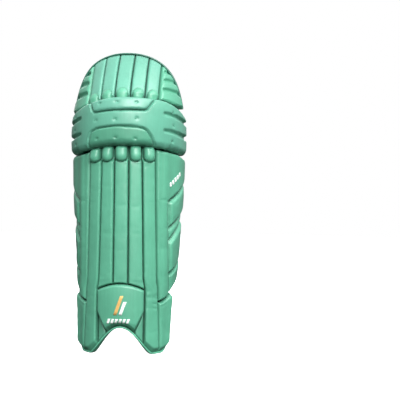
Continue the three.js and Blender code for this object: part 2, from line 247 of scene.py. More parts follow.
@dataclass(frozen=True)
class PadSkin:
    """Reference skin of the pad: the outer face of the stiff backing board.

    Each row of sections is level, half width, depth, front line and backward tilt.
    """

    sections: tuple[tuple[float, ...], ...] = (
        (-40, 93, 80, -111, 0), (0, 95, 83, -110, 0), (70, 98, 89, -107, 0),
        (130, 101.5, 95, -106, 0), (250, 109, 104, -108, 0), (350, 115, 110, -111, 0),
        (432, 116.5, 112, -113, 0), (470, 116.5, 113, -117, 2.5), (510, 116, 114, -121, 5),
        (548, 115.5, 115, -121, 8), (572, 115, 115, -108, 9.5), (610, 114, 114, -77, 10),
        (656, 112, 112, -34, 10), (700, 111, 111, 6, 10),
    )
    origin_y: float = 42.73
    round_mm: float = 112.0
    cane_levels: tuple[float, ...] = (10, 145, 168, 432)
    cane_halves: tuple[tuple[float, ...], ...] = (
        (15.5, 15, 15, 14.4), (48.4, 48.2, 45, 40.8), (75.5, 72, 70, 66))
    foot_half: float = 72.0
    hat_span: float = 84.0
    hat_peak: float = 654.0
    seam_x: float = 92.0

    def section(self, column: int, v: Array | float) -> Array:
        """One column of the sections at level v, averaged over a short stretch."""
        rows = np.array(self.sections)
        return sum(np.interp(v + 6.0 * k, rows[:, 0], rows[:, column]) for k in range(-3, 4)) / 7.0

    def droop(self, t: Array, v: Array) -> Array:
        """How far the knee and the foot of the hat hang at their sides, mm."""
        low = -4.0 + 14.0 * ramp(-t, 0.0, 60.0) + 10.0 * ramp(t, 15.0, 80.0)
        high = 6.5 + 20.0 * ramp(-t, -5.0, 62.0) + 7.0 * ramp(t, 30.0, 90.0)
        share = np.clip((v - KNEE_BOTTOM) / (KNEE_TOP - KNEE_BOTTOM), 0.0, 1.0)
        return lerp(low, high, share) * ramp(v, 400.0,
                                             KNEE_BOTTOM + 1.0) * (1.0 - ramp(v, HAT_BOTTOM, 640.0))

    def point(self, t: Array, v: Array, h: Array | float) -> Array:
        """Points of the pad in metres.

        Args:
            t: angle round the section, degrees.
            v: level, mm.
            h: height over the skin, mm.

        Returns:
            Array of shape (..., 3).
        """
        t, v = np.asarray(t, float), np.asarray(v, float)
        a, b = self.section(1, v), self.section(2, v)
        y0 = self.section(3, v) + b + self.origin_y
        tilt, turn = np.radians(self.section(4, v)), np.radians(t)
        nx, ny = np.sin(turn) / a, -np.cos(turn) / b
        size = np.hypot(nx, ny)
        nx, ny = nx / size, ny / size
        q = -b * np.cos(turn) + h * ny
        return np.stack([a * np.sin(turn) + h * nx, y0 + q * np.cos(tilt),
                         v - self.droop(t, v) - q * np.sin(tilt)], -1) * MM

    def outward(self, t: Array, v: Array) -> Array:
        """Unit vectors out of the skin."""
        n = self.point(t, v, 1.0) - self.point(t, v, 0.0)
        return n / np.linalg.norm(n, axis=-1, keepdims=True)

    def flat(self, t: Array, v: Array) -> Array:
        """Skin laid flat: arc length and level in mm, shape (N, 2)."""
        return np.stack([np.radians(t) * self.round_mm, v], -1)

    def angle_at(self, x: Array | float, v: Array | float) -> Array:
        """Angle of a line that keeps the distance x from the centre plane."""
        return np.degrees(np.arcsin(np.clip(x / self.section(1, v), -1.0, 1.0)))

    def cane_line(self, index: int, v: Array | float) -> Array:
        """Distance from the centre plane of shin seam 0 to 5 at level v."""
        k = 2 - index if index < 3 else index - 3
        return (-1.0 if index < 3 else 1.0) * np.interp(v, self.cane_levels, self.cane_halves[k])

    def foot_edge(self, t: Array | float) -> Array:
        """Lower edge: instep arch, level feet and rounded outer corners.

        Args:
            t: angle, degrees.

        Returns:
            Levels, mm.
        """
        t = np.asarray(t, float)
        x = np.abs(self.section(1, 20.0) * np.sin(np.radians(t)))
        arch = 60.0 * np.cos(np.pi / 2 * np.minimum(x / 66.0, 1.0)) ** 1.25
        return arch + 14.0 * (np.maximum(0.0, np.abs(t) - 58.0) / (self.foot_half - 58.0)) ** 2.2

    def rim(self, t: Array | float) -> Array:
        """Upper edge of the top hat."""
        k = np.minimum(1.0, np.abs(t) / self.hat_span)
        return 546.0 + (self.hat_peak - 546.0) * (1.0 - k**2.3)

    def pinch(self, t: Array, v: Array) -> Array:
        """Share of a panel's height near the bound lower edge."""
        return lerp(0.42, 1.0, ramp(v - self.foot_edge(t), 3.0, 17.0))

    def shin_edge(self, v: Array | float) -> Array:
        """Side edge of the shin board in degrees: wider under the ankle seam."""
        seam = self.angle_at(self.seam_x - 0.6, v)
        return lerp(self.foot_half, seam, np.clip((v - 121.0) / 9.0, 0.0, 1.0))

    def ankle_seam(self, x: Array | float) -> Array:
        """Level of the curved seam over the ankle panels."""
        return lerp(115.0, 128.0, np.clip((np.abs(x) - 77.0) / 15.0, 0.0, 1.0) ** 1.6)


SKIN = PadSkin()


# ------------------------------------------------------------------ finishes


class NodeBench:
    """A material's nodes, with short ways to add and join them."""

    def __init__(self, name: str) -> None:
        """Start a material with one principled shader."""
        self.material = bpy.data.materials.new(name)
        self.material.use_nodes = True
        self.tree = self.material.node_tree
        self.tree.nodes.clear()
        self.shader = self.add("ShaderNodeBsdfPrincipled")
        out = self.add("ShaderNodeOutputMaterial")
        self.tree.links.new(self.shader.outputs["BSDF"], out.inputs["Surface"])

    def add(self, kind: str, **values: object) -> bpy.types.Node:
        """Add a node and set its properties or sockets.

        Args:
            kind: node type.
            values: property or socket names, underscores standing for spaces.

        Returns:
            The node.
        """
        node = self.tree.nodes.new(kind)
        for key, value in values.items():
            if key.replace("_", " ") in node.inputs:
                node.inputs[key.replace("_", " ")].default_value = value
            else:
                setattr(node, key, value)
        return node

    def join(self, source: bpy.types.NodeSocket, target: bpy.types.NodeSocket) -> None:
        """Link two sockets."""
        self.tree.links.new(source, target)

    def mix(self, share: object, a: object, b: object, how: str = "MIX") -> bpy.types.NodeSocket:
        """Mix two colours.

        Args:
            share: number or socket.
            a: colour or socket.
            b: colour or socket.
            how: blend type.

        Returns:
            The result's socket.
        """
        node = self.add("ShaderNodeMix", data_type="RGBA", blend_type=how)
        for index, value in ((0, share), (6, a), (7, b)):
            if isinstance(value, bpy.types.NodeSocket):
                self.join(value, node.inputs[index])
            else:
                node.inputs[index].default_value = value if index == 0 else (*value, 1.0)
        return node.outputs[2]

    def span(self, source: bpy.types.NodeSocket, ends: tuple[float, float],
             to: tuple[float, float]) -> bpy.types.NodeSocket:
        """Map a value's range to another one, clamped.

        Args:
            source: the value.
            ends: range that it comes in.
            to: range that it leaves in.

        Returns:
            The result's socket.
        """
        node = self.add("ShaderNodeMapRange", From_Min=ends[0], From_Max=ends[1], To_Min=to[0],
                        To_Max=to[1])
        self.join(source, node.inputs["Value"])
        return node.outputs["Result"]

    def noise(self, scale: float, detail: float = 3.0,
              stretch: Sequence[float] = (1, 1, 1)) -> bpy.types.NodeSocket:
        """Noise on object coordinates.

        Args:
            scale: noise scale.
            detail: octaves.
            stretch: scale along each axis.

        Returns:
            The noise's socket.
        """
        place = self.add("ShaderNodeTexCoord")
        turn = self.add("ShaderNodeMapping")
        turn.inputs["Scale"].default_value = stretch
        node = self.add("ShaderNodeTexNoise", Scale=scale, Detail=detail)
        self.join(place.outputs["Object"], turn.inputs["Vector"])
        self.join(turn.outputs["Vector"], node.inputs["Vector"])
        return node.outputs["Fac"]

    def seam(self) -> bpy.types.NodeSocket:
        """The piece's distance from its nearest seam, 0 at the seam and 1 inside."""
        return self.add("ShaderNodeAttribute", attribute_name="seam").outputs["Fac"]

    def lay(self) -> bpy.types.NodeSocket:
        """The piece's own flat coordinates."""
        return self.add("ShaderNodeAttribute", attribute_name="lay").outputs["Vector"]

    def bump(self, layers: Iterable[tuple[bpy.types.NodeSocket, float, float]]) -> None:
        """Chain bump layers into the shader.

        Args:
            layers: height socket, strength and depth in metres of each layer.
        """
        last = None
        for height, strength, depth in layers:
            node = self.add("ShaderNodeBump", Strength=strength, Distance=depth)
            self.join(height, node.inputs["Height"])
            if last is not None:
                self.join(last, node.inputs["Normal"])
            last = node.outputs["Normal"]
        self.join(last, self.shader.inputs["Normal"])


def tint(colour: Colour, k: float) -> Colour:
    """The colour made lighter or darker."""
    return tuple(min(1.0, c * k) for c in colour)


@dataclass(frozen=True)
class Leather:
    """Smooth coated leather with fine grain, soft sheen and painted shade that darkens it towards its
    seams and over its hidden face.
    """

    name: str
    colour: Colour
    rough: float = 0.4
    grain: float = 1.0
    seam_dark: float = 0.5
    crumple: float = 0.25

    def material(self) -> bpy.types.Material:
        """Build the material."""
        b = NodeBench(self.name)
        patchy = b.mix(b.span(b.noise(11.0, 4.0), (0.35, 0.65), (0.0, 1.0)), tint(self.colour, 0.93),
                       tint(self.colour, 1.07))
        pulled = b.mix(b.span(b.noise(260.0, 3.0, (1.0, 1.0, 0.06)), (0.4, 0.62), (0.0, 0.16)), patchy,
                       tint(self.colour, 1.3))
        # painted shade: the colour darkens towards each seam, standing in for the shadow in the grooves
        # between cushions
        seam_shaded = b.mix(b.span(b.seam(), (0.0, 0.6), (self.seam_dark, 0.0)), pulled,
                      tint(self.colour, 0.22))
        rubbed = b.mix(b.span(b.noise(55.0, 4.0), (0.58, 0.74), (0.0, 0.14)), seam_shaded,
                       tint(self.colour, 1.45))
        b.join(rubbed, b.shader.inputs["Base Color"])
        b.join(b.span(b.noise(38.0, 3.0), (0.3, 0.7), (self.rough - 0.05, self.rough + 0.08)),
               b.shader.inputs["Roughness"])
        b.shader.inputs["Specular IOR Level"].default_value = 0.5
        b.shader.inputs["Coat Weight"].default_value = 0.42
        b.shader.inputs["Coat Roughness"].default_value = 0.42
        b.shader.inputs["Sheen Weight"].default_value = 0.03
        b.shader.inputs["Sheen Roughness"].default_value = 0.5
        cells = b.add("ShaderNodeTexVoronoi", Scale=620.0, feature="SMOOTH_F1")
        b.join(b.add("ShaderNodeTexCoord").outputs["Object"], cells.inputs["Vector"])
        b.bump((
            (b.noise(30.0, 2.0), self.crumple, 0.0018),
            (b.noise(150.0, 4.0), 0.16 * self.grain, 0.0005),
            (cells.outputs["Distance"], 0.2 * self.grain, 0.0003),
        ))
        return b.material


@dataclass(frozen=True)
class Woven:
    """Woven cloth: crossing yarns on the piece's own flat coordinates."""

    name: str
    colour: Colour
    pitch: float = 0.0016
    rough: float = 0.85
    relief: float = 0.5
    fuzz: float = 0.25

    def material(self) -> bpy.types.Material:
        """Build the material."""
        b = NodeBench(self.name)
        yarns = []
        for axis in ("X", "Y"):
            wave = b.add("ShaderNodeTexWave", wave_type="BANDS", bands_direction=axis,
                         Scale=np.pi / (10.0 * self.pitch), Distortion=0.4)
            b.join(b.lay(), wave.inputs["Vector"])
            yarns.append(wave.outputs["Fac"])
        cross = b.add("ShaderNodeMath", operation="MULTIPLY")
        b.join(yarns[0], cross.inputs[0])
        b.join(yarns[1], cross.inputs[1])
        base = b.mix(b.span(b.noise(30.0, 4.0), (0.35, 0.65), (0.0, 1.0)), tint(self.colour, 0.88),
                     tint(self.colour, 1.1))
        b.join(b.mix(b.span(cross.outputs[0], (0.0, 0.7), (0.45, 0.0)), base, tint(self.colour, 0.4)),
               b.shader.inputs["Base Color"])
        b.join(b.span(b.noise(90.0, 2.0), (0.3, 0.7), (self.rough - 0.06, min(1.0, self.rough + 0.06))),
               b.shader.inputs["Roughness"])
        b.shader.inputs["Sheen Weight"].default_value = self.fuzz
        b.bump(((b.noise(70.0, 3.0), 0.2, 0.0008), (cross.outputs[0], self.relief, 0.0005)))
        return b.material


@dataclass(frozen=True)
class Thread:
    """Twisted sewing thread."""

    name: str
    colour: Colour

    def material(self) -> bpy.types.Material:
        """Build the material."""
        b = NodeBench(self.name)
        twist = b.noise(1800.0, 1.0)
        b.join(b.mix(twist, tint(self.colour, 0.75), tint(self.colour, 1.2)),
               b.shader.inputs["Base Color"])
        b.join(b.span(twist, (0.3, 0.7), (0.5, 0.7)), b.shader.inputs["Roughness"])
        b.bump(((twist, 0.3, 0.0002),))
        return b.material


@dataclass(frozen=True)
class Print:
    """Thin flexible print on the leather."""

    name: str
    colour: Colour
    rough: float = 0.45

    def material(self) -> bpy.types.Material:
        """Build the material."""
        b = NodeBench(self.name)
        worn = b.span(b.noise(240.0, 4.0), (0.35, 0.6), (0.0, 1.0))
        b.join(b.mix(worn, tint(self.colour, 0.9), tint(self.colour, 1.04)),
               b.shader.inputs["Base Color"])
        b.join(b.span(worn, (0.0, 1.0), (self.rough, self.rough + 0.12)), b.shader.inputs["Roughness"])
        b.bump(((b.noise(420.0, 2.0), 0.12, 0.0003),))
        return b.material


@dataclass(frozen=True)
class HookTape:
    """Close rows of stiff hooks."""

    name: str
    colour: Colour

    def material(self) -> bpy.types.Material:
        """Build the material."""
        b = NodeBench(self.name)
        cells = b.add("ShaderNodeTexVoronoi", Scale=900.0)
        b.join(b.lay(), cells.inputs["Vector"])
        b.join(b.mix(cells.outputs["Distance"], tint(self.colour, 1.8), tint(self.colour, 0.5)),
               b.shader.inputs["Base Color"])
        b.join(b.span(cells.outputs["Distance"], (0.0, 0.6), (0.6, 0.95)), b.shader.inputs["Roughness"])
        b.bump(((cells.outputs["Distance"], 0.8, 0.0008),))
        return b.material


@dataclass
class Wardrobe:
    """Every finish of the pad, each material made once."""

    green: Colour = (0.094, 0.362, 0.232)
    made: dict[str, bpy.types.Material] = field(default_factory=dict)

    def get(self, finish: object) -> bpy.types.Material:
        """The finish's material, built on first use."""
        if finish.name not in self.made:
            self.made[finish.name] = finish.material()
        return self.made[finish.name]

    def leather(self) -> Leather:
        """Main cover leather."""
        return Leather("leather_green", self.green)

    def top(self) -> Leather:
        """Paler, whiter copy of the cover leather for the top hat and upper knee: painted sheen of the
        light from above.
        """
        return Leather("leather_mint", (0.110, 0.352, 0.254))

    def knee(self) -> Leather:
        """Paler, whiter copy of the cover leather for the knee roll: painted sheen of the light from
        above.
        """
        return Leather("leather_knee", (0.108, 0.356, 0.250))

    def shade(self) -> Leather:
        """Darker copy of the cover leather for the lower knee panel and the instep gussets: painted
        shade, as they face down or sit sunk between raised parts.
        """
        return Leather("leather_deep", tint(self.green, 0.82))

    def binding(self) -> Leather:
        """Light bound edge."""
        return Leather("leather_binding", tint(self.green, 1.25), rough=0.34, grain=0.6, seam_dark=0.1,
                       crumple=0.15)

    def rim(self) -> Leather:
        """Dark bound rim."""
        return Leather("leather_rim", (0.02, 0.13, 0.085), grain=0.6, seam_dark=0.1, crumple=0.15)

    def lining(self) -> Woven:
        """Off-white cotton lining."""
        return Woven("cotton_lining", (0.66, 0.67, 0.62), pitch=0.002, rough=0.92)

    def backing(self) -> Woven:
        """Green coated cloth of the inner face."""
        return Woven("cloth_backing", (0.035, 0.16, 0.10), pitch=0.0012, rough=0.75, relief=0.35)

    def webbing(self) -> Woven:
        """Strap webbing."""
        return Woven("strap_webbing", (0.03, 0.14, 0.09), pitch=0.0022, rough=0.8, relief=0.8)

    def hook(self) -> HookTape:
        """Hook tape on the straps."""
        return HookTape("hook_tape", (0.02, 0.021, 0.022))

    def thread(self) -> Thread:
        """Green thread."""
        return Thread("thread_green", tint(self.green, 0.55))

    def pale_thread(self) -> Thread:
        """Pale thread of the lining and straps."""
        return Thread("thread_pale", (0.45, 0.55, 0.48))

    def gold(self) -> Print:
        """Gold print."""
        return Print("print_gold", (0.72, 0.42, 0.13))

    def white(self) -> Print:
        """White print."""
        return Print("print_white", (0.86, 0.88, 0.86))


# ------------------------------------------------------------------ mesh making


def make_piece(name: str, points: Array, faces: Sequence[Sequence[int]], attributes: dict[str, Array],
               material: bpy.types.Material, smooth_steps: int = 0) -> bpy.types.Object:
    """Turn points and faces into a finished mesh object.

    Args:
        name: piece name.
        points: (N, 3) in metres.
        faces: vertex indices, all wound outwards.
        attributes: per point values, one number or three each.
        material: its finish.
        smooth_steps: subdivision steps applied to the mesh.

    Returns:
        The object, at the origin.
    """
    mesh = bpy.data.meshes.new(name)
    mesh.from_pydata(points.tolist(), [], [tuple(int(i) for i in f) for f in faces])
    for key, values in attributes.items():
        kind = "FLOAT_VECTOR" if values.ndim == 2 else "FLOAT"
        layer = mesh.attributes.new(key, kind, "POINT")
        layer.data.foreach_set("vector" if values.ndim == 2 else "value",
                               values.astype(np.float32).ravel())
    mesh.update()
    mesh.materials.append(material)
    piece = bpy.data.objects.new(name, mesh)
    bpy.context.scene.collection.objects.link(piece)
    if smooth_steps:
        modifier = piece.modifiers.new("soften", "SUBSURF")
        modifier.levels = modifier.render_levels = smooth_steps
        piece = bake_mesh(piece)
    piece.data.polygons.foreach_set("use_smooth", np.ones(len(piece.data.polygons), bool))
    return piece


def bake_mesh(piece: bpy.types.Object) -> bpy.types.Object:
    """Apply the piece's modifiers by taking its evaluated mesh.

    Args:
        piece: the object.

    Returns:
        The same object, with a plain mesh.
    """
    graph = bpy.context.evaluated_depsgraph_get()
    graph.update()
    baked = bpy.data.meshes.new_from_object(piece.evaluated_get(graph), depsgraph=graph)
    piece.modifiers.clear()
    old = piece.data
    piece.data = baked
    bpy.data.meshes.remove(old)
    baked.name = piece.name
    return piece


def settle(piece: bpy.types.Object, stands_for: Sequence[str] = (), body: str = "",
           blend: tuple[str, str, Sequence[float], Sequence[float]] | None = None) -> bpy.types.Object:
    """Give a finished piece its place in the frame.

    Args:
        piece: the object.
        stands_for: CAD nodes it replaces.
        body: body that it rides on, unless blend is given.
        blend: two bodies with start and end points; only its presence is read, and then the piece is
            baked in place on no body.

    Returns:
        The same object.
    """
    if blend is not None:
        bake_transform(piece)
    else:
        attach(piece, body)
    if stands_for:
        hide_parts(*stands_for)
    LOG.info("%s: %d faces", piece.name, len(piece.data.polygons))
    return piece


@dataclass
class Patch:
    """A grid of the skin: fractions across and along, and where they lie."""

    across: Array
    along: Array
    place: Place


@dataclass
class Cushion:
    """One sewn and stuffed panel of the pad.

    The hidden face lies at base; the seen face rises from seam at the outline to high
    inside. Heights are mm over the skin and may run inwards.
    """

    name: str
    patches: list[Patch]
    base: Field
    high: Field
    seam: Field | None = None
    radius: float = 5.0
    edge: Edge = Edge.ROUND
    rise: Field | None = None
    detail: Field | None = None
    cap: float = 1.6
    give: float = 0.45
    # width of the painted shade along the outline, mm
    dark_width: float = 4.0

    def shape(self) -> None:
        """Work out the flat pattern, its outline and both faces."""
        t, v, quads = [], [], []
        count = 0
        for patch in self.patches:
            s, w = np.meshgrid(patch.across, patch.along, indexing="ij")
            pt, pv = patch.place(s, w)
            n, m = s.shape
            quads.append(grid_quads(n, m, count))
            t.append(np.broadcast_to(pt, s.shape).ravel())
            v.append(np.broadcast_to(pv, s.shape).ravel())
            count += n * m
        t, v, quads = np.concatenate(t), np.concatenate(v), np.concatenate(quads)
        keys = np.round(np.stack([t * 20.0, v * 20.0], -1)).astype(int)
        _, first, back = np.unique(keys, axis=0, return_index=True, return_inverse=True)
        self.t, self.v, quads = t[first], v[first], back.reshape(-1)[quads]
        flat = SKIN.flat(self.t, self.v)
        q = flat[quads]
        turn = np.cross(q[:, 2] - q[:, 0], q[:, 3] - q[:, 1])
        middle = np.median(turn)
        outward = np.median(self.high(self.t, self.v) - self.base(self.t, self.v)) > 0
        if (middle < 0) == outward:
            quads = quads[:, ::-1]
        self.quads = quads
        self.outline = open_edges(quads)
        self.gap = to_segments(flat, flat[self.outline[:, 0]], flat[self.outline[:, 1]])
        x = np.clip(self.gap / self.radius, 0.0, 1.0)
        rise = np.sqrt(1.0 - (1.0 - x) ** 2) if self.edge is Edge.ROUND else x - 0.12 * np.sin(2 * np.pi
            * x) / 2
        if self.rise is not None:
            rise = self.rise(self.t, self.v)
        base, high = self.base(self.t, self.v), self.high(self.t, self.v)
        seam = self.seam(self.t, self.v) if self.seam else lerp(base, high, 0.32)
        self.hidden = SKIN.point(self.t, self.v, base)
        self.seen = SKIN.point(self.t, self.v, lerp(seam, high, rise))
        self.sign = 1.0 if outward else -1.0

    def cut(self) -> tuple[float, float]:
        """Width and length that the first patch is cut to, metres."""
        share, half = np.linspace(0.0, 1.0, 80), np.full(80, 0.5)
        sizes = []
        for s, w in ((share, half), (half, share)):
            t, v = self.patches[0].place(s, w)
            run = SKIN.point(t, v, self.base(t, v))
            sizes.append(float(np.linalg.norm(np.diff(run, axis=0), axis=1).sum()))
        return sizes[0], sizes[1]

    def puff(self, moved: Array) -> None:
        """Take up a share of a simulated bulge, no more than the cap."""
        step = moved - self.seen
        length = np.linalg.norm(step, axis=1, keepdims=True)
        step *= np.minimum(1.0, self.cap * MM / np.maximum(length, SMALLEST)) * self.give
        self.seen = self.seen + step

    def finish(self, material: bpy.types.Material, smooth_steps: int = 1) -> bpy.types.Object:
        """Add the sewn detail and make the closed mesh.

        Args:
            material: its finish.
            smooth_steps: subdivision steps.

        Returns:
            The object.
        """
        seen = self.seen
        if self.detail is not None:
            depth = self.detail(self.t, self.v) * self.sign * MM
            seen = seen + SKIN.outward(self.t, self.v) * depth[:, None]
        n = len(self.t)
        faces = close_up(self.quads, self.outline, n)
        lay = np.zeros((n, 3))
        lay[:, :2] = SKIN.flat(self.t, self.v) * MM
        # painted shade mask: 0 at the outline rising to 1 inside, and 0 over the whole hidden face, so
        # the leather is painted dark there
        near = np.clip(self.gap / self.dark_width, 0.0, 1.0)
        return make_piece(self.name, np.concatenate([seen, self.hidden]), faces, {
            "lay": np.concatenate([lay, lay]),
            "seam": np.concatenate([near, near * 0.0]),
        }, material, smooth_steps)


@dataclass
class Filling:
    """Foam filling: one pressure simulation that swells many cushions at once."""

    pressure: float = 4.0
    frames: int = 20
    slack: float = -0.03

    def swell(self, cushions: Sequence[Cushion]) -> None:
        """Let every cushion bulge between its seams.

        Args:
            cushions: shaped cushions, changed in place.
        """
        points, faces, pinned, count = [], [], [], 0
        for c in cushions:
            n = len(c.t)
            points += [c.seen, c.hidden]
            faces.append(close_up(c.quads, c.outline, n) + count)
            pinned += [(c.gap < 0.05).astype(float), np.ones(n)]
            count += 2 * n
        piece = make_piece("filling", np.concatenate(points), np.concatenate(faces), {}, None)
        group = piece.vertex_groups.new(name="sewn")
        for index in np.nonzero(np.concatenate(pinned) > 0.5)[0]:
            group.add([int(index)], 1.0, "REPLACE")
        cloth = piece.modifiers.new("filling", "CLOTH")
        sets = cloth.settings
        sets.vertex_group_mass = "sewn"
        sets.use_pressure, sets.uniform_pressure_force = True, self.pressure
        sets.effector_weights.gravity = 0.0
        sets.quality, sets.shrink_min = 5, self.slack
        cloth.point_cache.frame_start, cloth.point_cache.frame_end = 1, self.frames
        scene = bpy.context.scene
        for frame in range(1, self.frames + 1):
            scene.frame_set(frame)
        graph = bpy.context.evaluated_depsgraph_get()
        mesh = piece.evaluated_get(graph).to_mesh()
        moved = np.empty(len(mesh.vertices) * 3)
        mesh.vertices.foreach_get("co", moved)
        moved = moved.reshape(-1, 3)
        scene.frame_set(1)
        bpy.data.objects.remove(piece)
        start = 0
        for c in cushions:
            n = len(c.t)
            step = np.linalg.norm(moved[start : start + n] - c.seen, axis=1)
            LOG.info("filling %s: mean %.2f mm, most %.2f mm", c.name, step.mean() / MM, step.max() / MM)
            c.puff(moved[start : start + n])
            start += 2 * n


@dataclass
class Band:
    """A bound edge or piping that follows a line on the skin."""

    name: str
    line: Array
    half: float
    low: float
    top: float

    def build(self, material: bpy.types.Material) -> bpy.types.Object:
        """Sweep a rounded section along the line.

        Args:
            material: its finish.

        Returns:
            The object.
        """
        flat = SKIN.flat(self.line[:, 0], self.line[:, 1])
        run = np.gradient(flat, axis=0)
        run /= np.linalg.norm(run, axis=1, keepdims=True)
        across = np.stack([-run[:, 1], run[:, 0]], -1)
        turn = np.linspace(0, 2 * np.pi, 16, endpoint=False)
        c, s = np.cos(turn), np.sin(turn)
        e = np.sign(c) * np.abs(c) ** 0.6 * self.half
        h = lerp(self.low, self.top, 0.5 + 0.5 * np.sign(s) * np.abs(s) ** 0.45)
        rings = flat[:, None, :] + across[:, None, :] * e[None, :, None]
        t, v = np.degrees(rings[..., 0] / SKIN.round_mm), rings[..., 1]
        points = SKIN.point(t, v, np.broadcast_to(h, t.shape))
        length = np.concatenate([[0], np.cumsum(np.linalg.norm(np.diff(flat, axis=0), axis=1))]) * MM
        lay = np.stack([np.broadcast_to(length[:, None], t.shape),
                        np.broadcast_to(turn * 0.004, t.shape), t * 0], -1)
        return sweep(self.name, points, lay, material)


def sweep(name: str, rings: Array, lay: Array, material: bpy.types.Material) -> bpy.types.Object:
    """Close a run of rings into a capped tube.

    Args:
        name: piece name.
        rings: (K, M, 3) points in metres.
        lay: (K, M, 3) flat coordinates.
        material: its finish.

    Returns:
        The object.
    """
    k, m, _ = rings.shape
    index = np.arange(k * m).reshape(k, m)
    step = np.roll(index, -1, axis=1)
    faces = np.stack([index[:-1], step[:-1], step[1:], index[1:]], -1).reshape(-1, 4).tolist()
    faces += [index[0][::-1].tolist(), index[-1].tolist()]
    centre = rings.reshape(-1, 3).mean(axis=0)
    p = rings.reshape(-1, 3) - centre
    volume = sum(np.dot(p[f[0]], np.cross(p[f[1]], p[f[2]]))
                 + np.dot(p[f[0]], np.cross(p[f[2]], p[f[3]])) for f in faces[:-2])
    if volume < 0:
        faces = [f[::-1] for f in faces]
    return make_piece(name, rings.reshape(-1, 3), faces, {
        "lay": lay.reshape(-1, 3), "seam": np.ones(k * m)}, material, 1)


class Feeler:
    """Finds the finished outer face of pieces, for stitches and prints."""

    def __init__(self, pieces: Iterable[bpy.types.Object]) -> None:
        """Collect the pieces' meshes in one search tree."""
        points, faces, count = [], [], 0
        for piece in pieces:
            mesh = piece.data
            points += [tuple(v.co) for v in mesh.vertices]
            faces += [tuple(count + i for i in p.vertices) for p in mesh.polygons]
            count += len(mesh.vertices)
        self.tree = BVHTree.FromPolygons(points, faces)

    def touch(self, t: Array, v: Array, lift: float, inside: bool = False) -> Array:
        """Points on the seen face.

        Args:
            t: angles, degrees.
            v: levels, mm.
            lift: distance off the face, mm.
            inside: look from the leg side instead.

        Returns:
            (N, 3) points in metres; those that miss keep the last hit's height.
        """
        way = -1.0 if inside else 1.0
        start = SKIN.point(t, v, 60.0 * way)
        out = SKIN.outward(t, v) * way
        found, reach = [], 0.06
        for p, n in zip(start.reshape(-1, 3), out.reshape(-1, 3)):
            hit = self.tree.ray_cast(Vector(p), Vector(-n), 0.12)
            if hit[0] is not None:
                reach = hit[3]
            found.append(p - n * (reach - lift * MM))
        return np.array(found).reshape(start.shape)


@dataclass
class Sewing:
    """Runs of stitches, gathered by body and made with Geometry Nodes."""

    pitch: float = 0.0042
    length: float = 0.0029
    width: float = 0.0009
    runs: dict[tuple[str, str], list[Array]] = field(default_factory=dict)

    def run(self, body: str, points: Array, thread: str = "green") -> None:
        """Add a line of stitches to a body."""
        self.runs.setdefault((body, thread), []).append(points)

    def tree(self) -> tuple[bpy.types.NodeTree, dict[str, str]]:
        """Build the stitch tree.

        Returns:
            The tree and its input identifiers by name.
        """
        tree = bpy.data.node_groups.new("stitch_run", "GeometryNodeTree")
        face = tree.interface
        face.new_socket(name="Geometry", in_out="INPUT", socket_type="NodeSocketGeometry")
        names = {
            key: face.new_socket(name=key, in_out="INPUT", socket_type=kind).identifier
            for key, kind in (("Pitch", "NodeSocketFloat"), ("Length", "NodeSocketFloat"),
                              ("Width", "NodeSocketFloat"), ("Thread", "NodeSocketMaterial"))
        }
        face.new_socket(name="Geometry", in_out="OUTPUT", socket_type="NodeSocketGeometry")
        nodes = {}
        for key, kind in (
            ("in", "NodeGroupInput"), ("curve", "GeometryNodeMeshToCurve"),
            ("space", "GeometryNodeResampleCurve"),
            ("tangent", "GeometryNodeInputTangent"), ("aim", "FunctionNodeAlignRotationToVector"),
            ("bead", "GeometryNodeMeshUVSphere"), ("half", "ShaderNodeCombineXYZ"),
            ("place", "GeometryNodeInstanceOnPoints"), ("real", "GeometryNodeRealizeInstances"),
            ("paint", "GeometryNodeSetMaterial"), ("out", "NodeGroupOutput"),
        ):
            nodes[key] = tree.nodes.new(kind)
        nodes["space"].mode = "LENGTH"
        nodes["aim"].axis = "X"
        nodes["bead"].inputs["Segments"].default_value = 6
        nodes["bead"].inputs["Rings"].default_value = 4
        nodes["bead"].inputs["Radius"].default_value = 0.5
        for a, out, b, into in (
            ("in", "Geometry", "curve", "Mesh"), ("curve", "Curve", "space", "Curve"),
            ("in", "Pitch", "space", "Length"), ("tangent", "Tangent", "aim", "Vector"),
            ("in", "Length", "half", "X"), ("in", "Width", "half", "Y"), ("in", "Width", "half", "Z"),
            ("space", "Curve", "place", "Points"), ("bead", "Mesh", "place", "Instance"),
            ("aim", "Rotation", "place", "Rotation"), ("half", "Vector", "place", "Scale"),
            ("place", "Instances", "real", "Geometry"), ("real", "Geometry", "paint", "Geometry"),
            ("in", "Thread", "paint", "Material"), ("paint", "Geometry", "out", "Geometry"),
        ):
            tree.links.new(nodes[a].outputs[out], nodes[b].inputs[into])
        return tree, names

    def build(self, wardrobe: Wardrobe) -> None:
        """Make one piece of stitches for each body and thread.

        Args:
            wardrobe: the finishes.
        """
        tree, names = self.tree()
        finishes = {"green": wardrobe.thread(), "pale": wardrobe.pale_thread()}
        for (body, thread), runs in self.runs.items():
            mesh = bpy.data.meshes.new("run")
            points, edges, count = [], [], 0
            for run in runs:
                points += run.tolist()
                edges += [(count + i, count + i + 1) for i in range(len(run) - 1)]
                count += len(run)
            mesh.from_pydata(points, edges, [])
            piece = bpy.data.objects.new(f"stitches_{thread}_{body}", mesh)
            bpy.context.scene.collection.objects.link(piece)
            modifier = piece.modifiers.new("stitches", "NODES")
            modifier.node_group = tree
            for key, value in (("Pitch", self.pitch), ("Length", self.length), ("Width", self.width),
                               ("Thread", wardrobe.get(finishes[thread]))):
                modifier[names[key]] = value
            bake_mesh(piece)
            piece.data.polygons.foreach_set("use_smooth", np.ones(len(piece.data.polygons), bool))
            settle(piece, body=body)


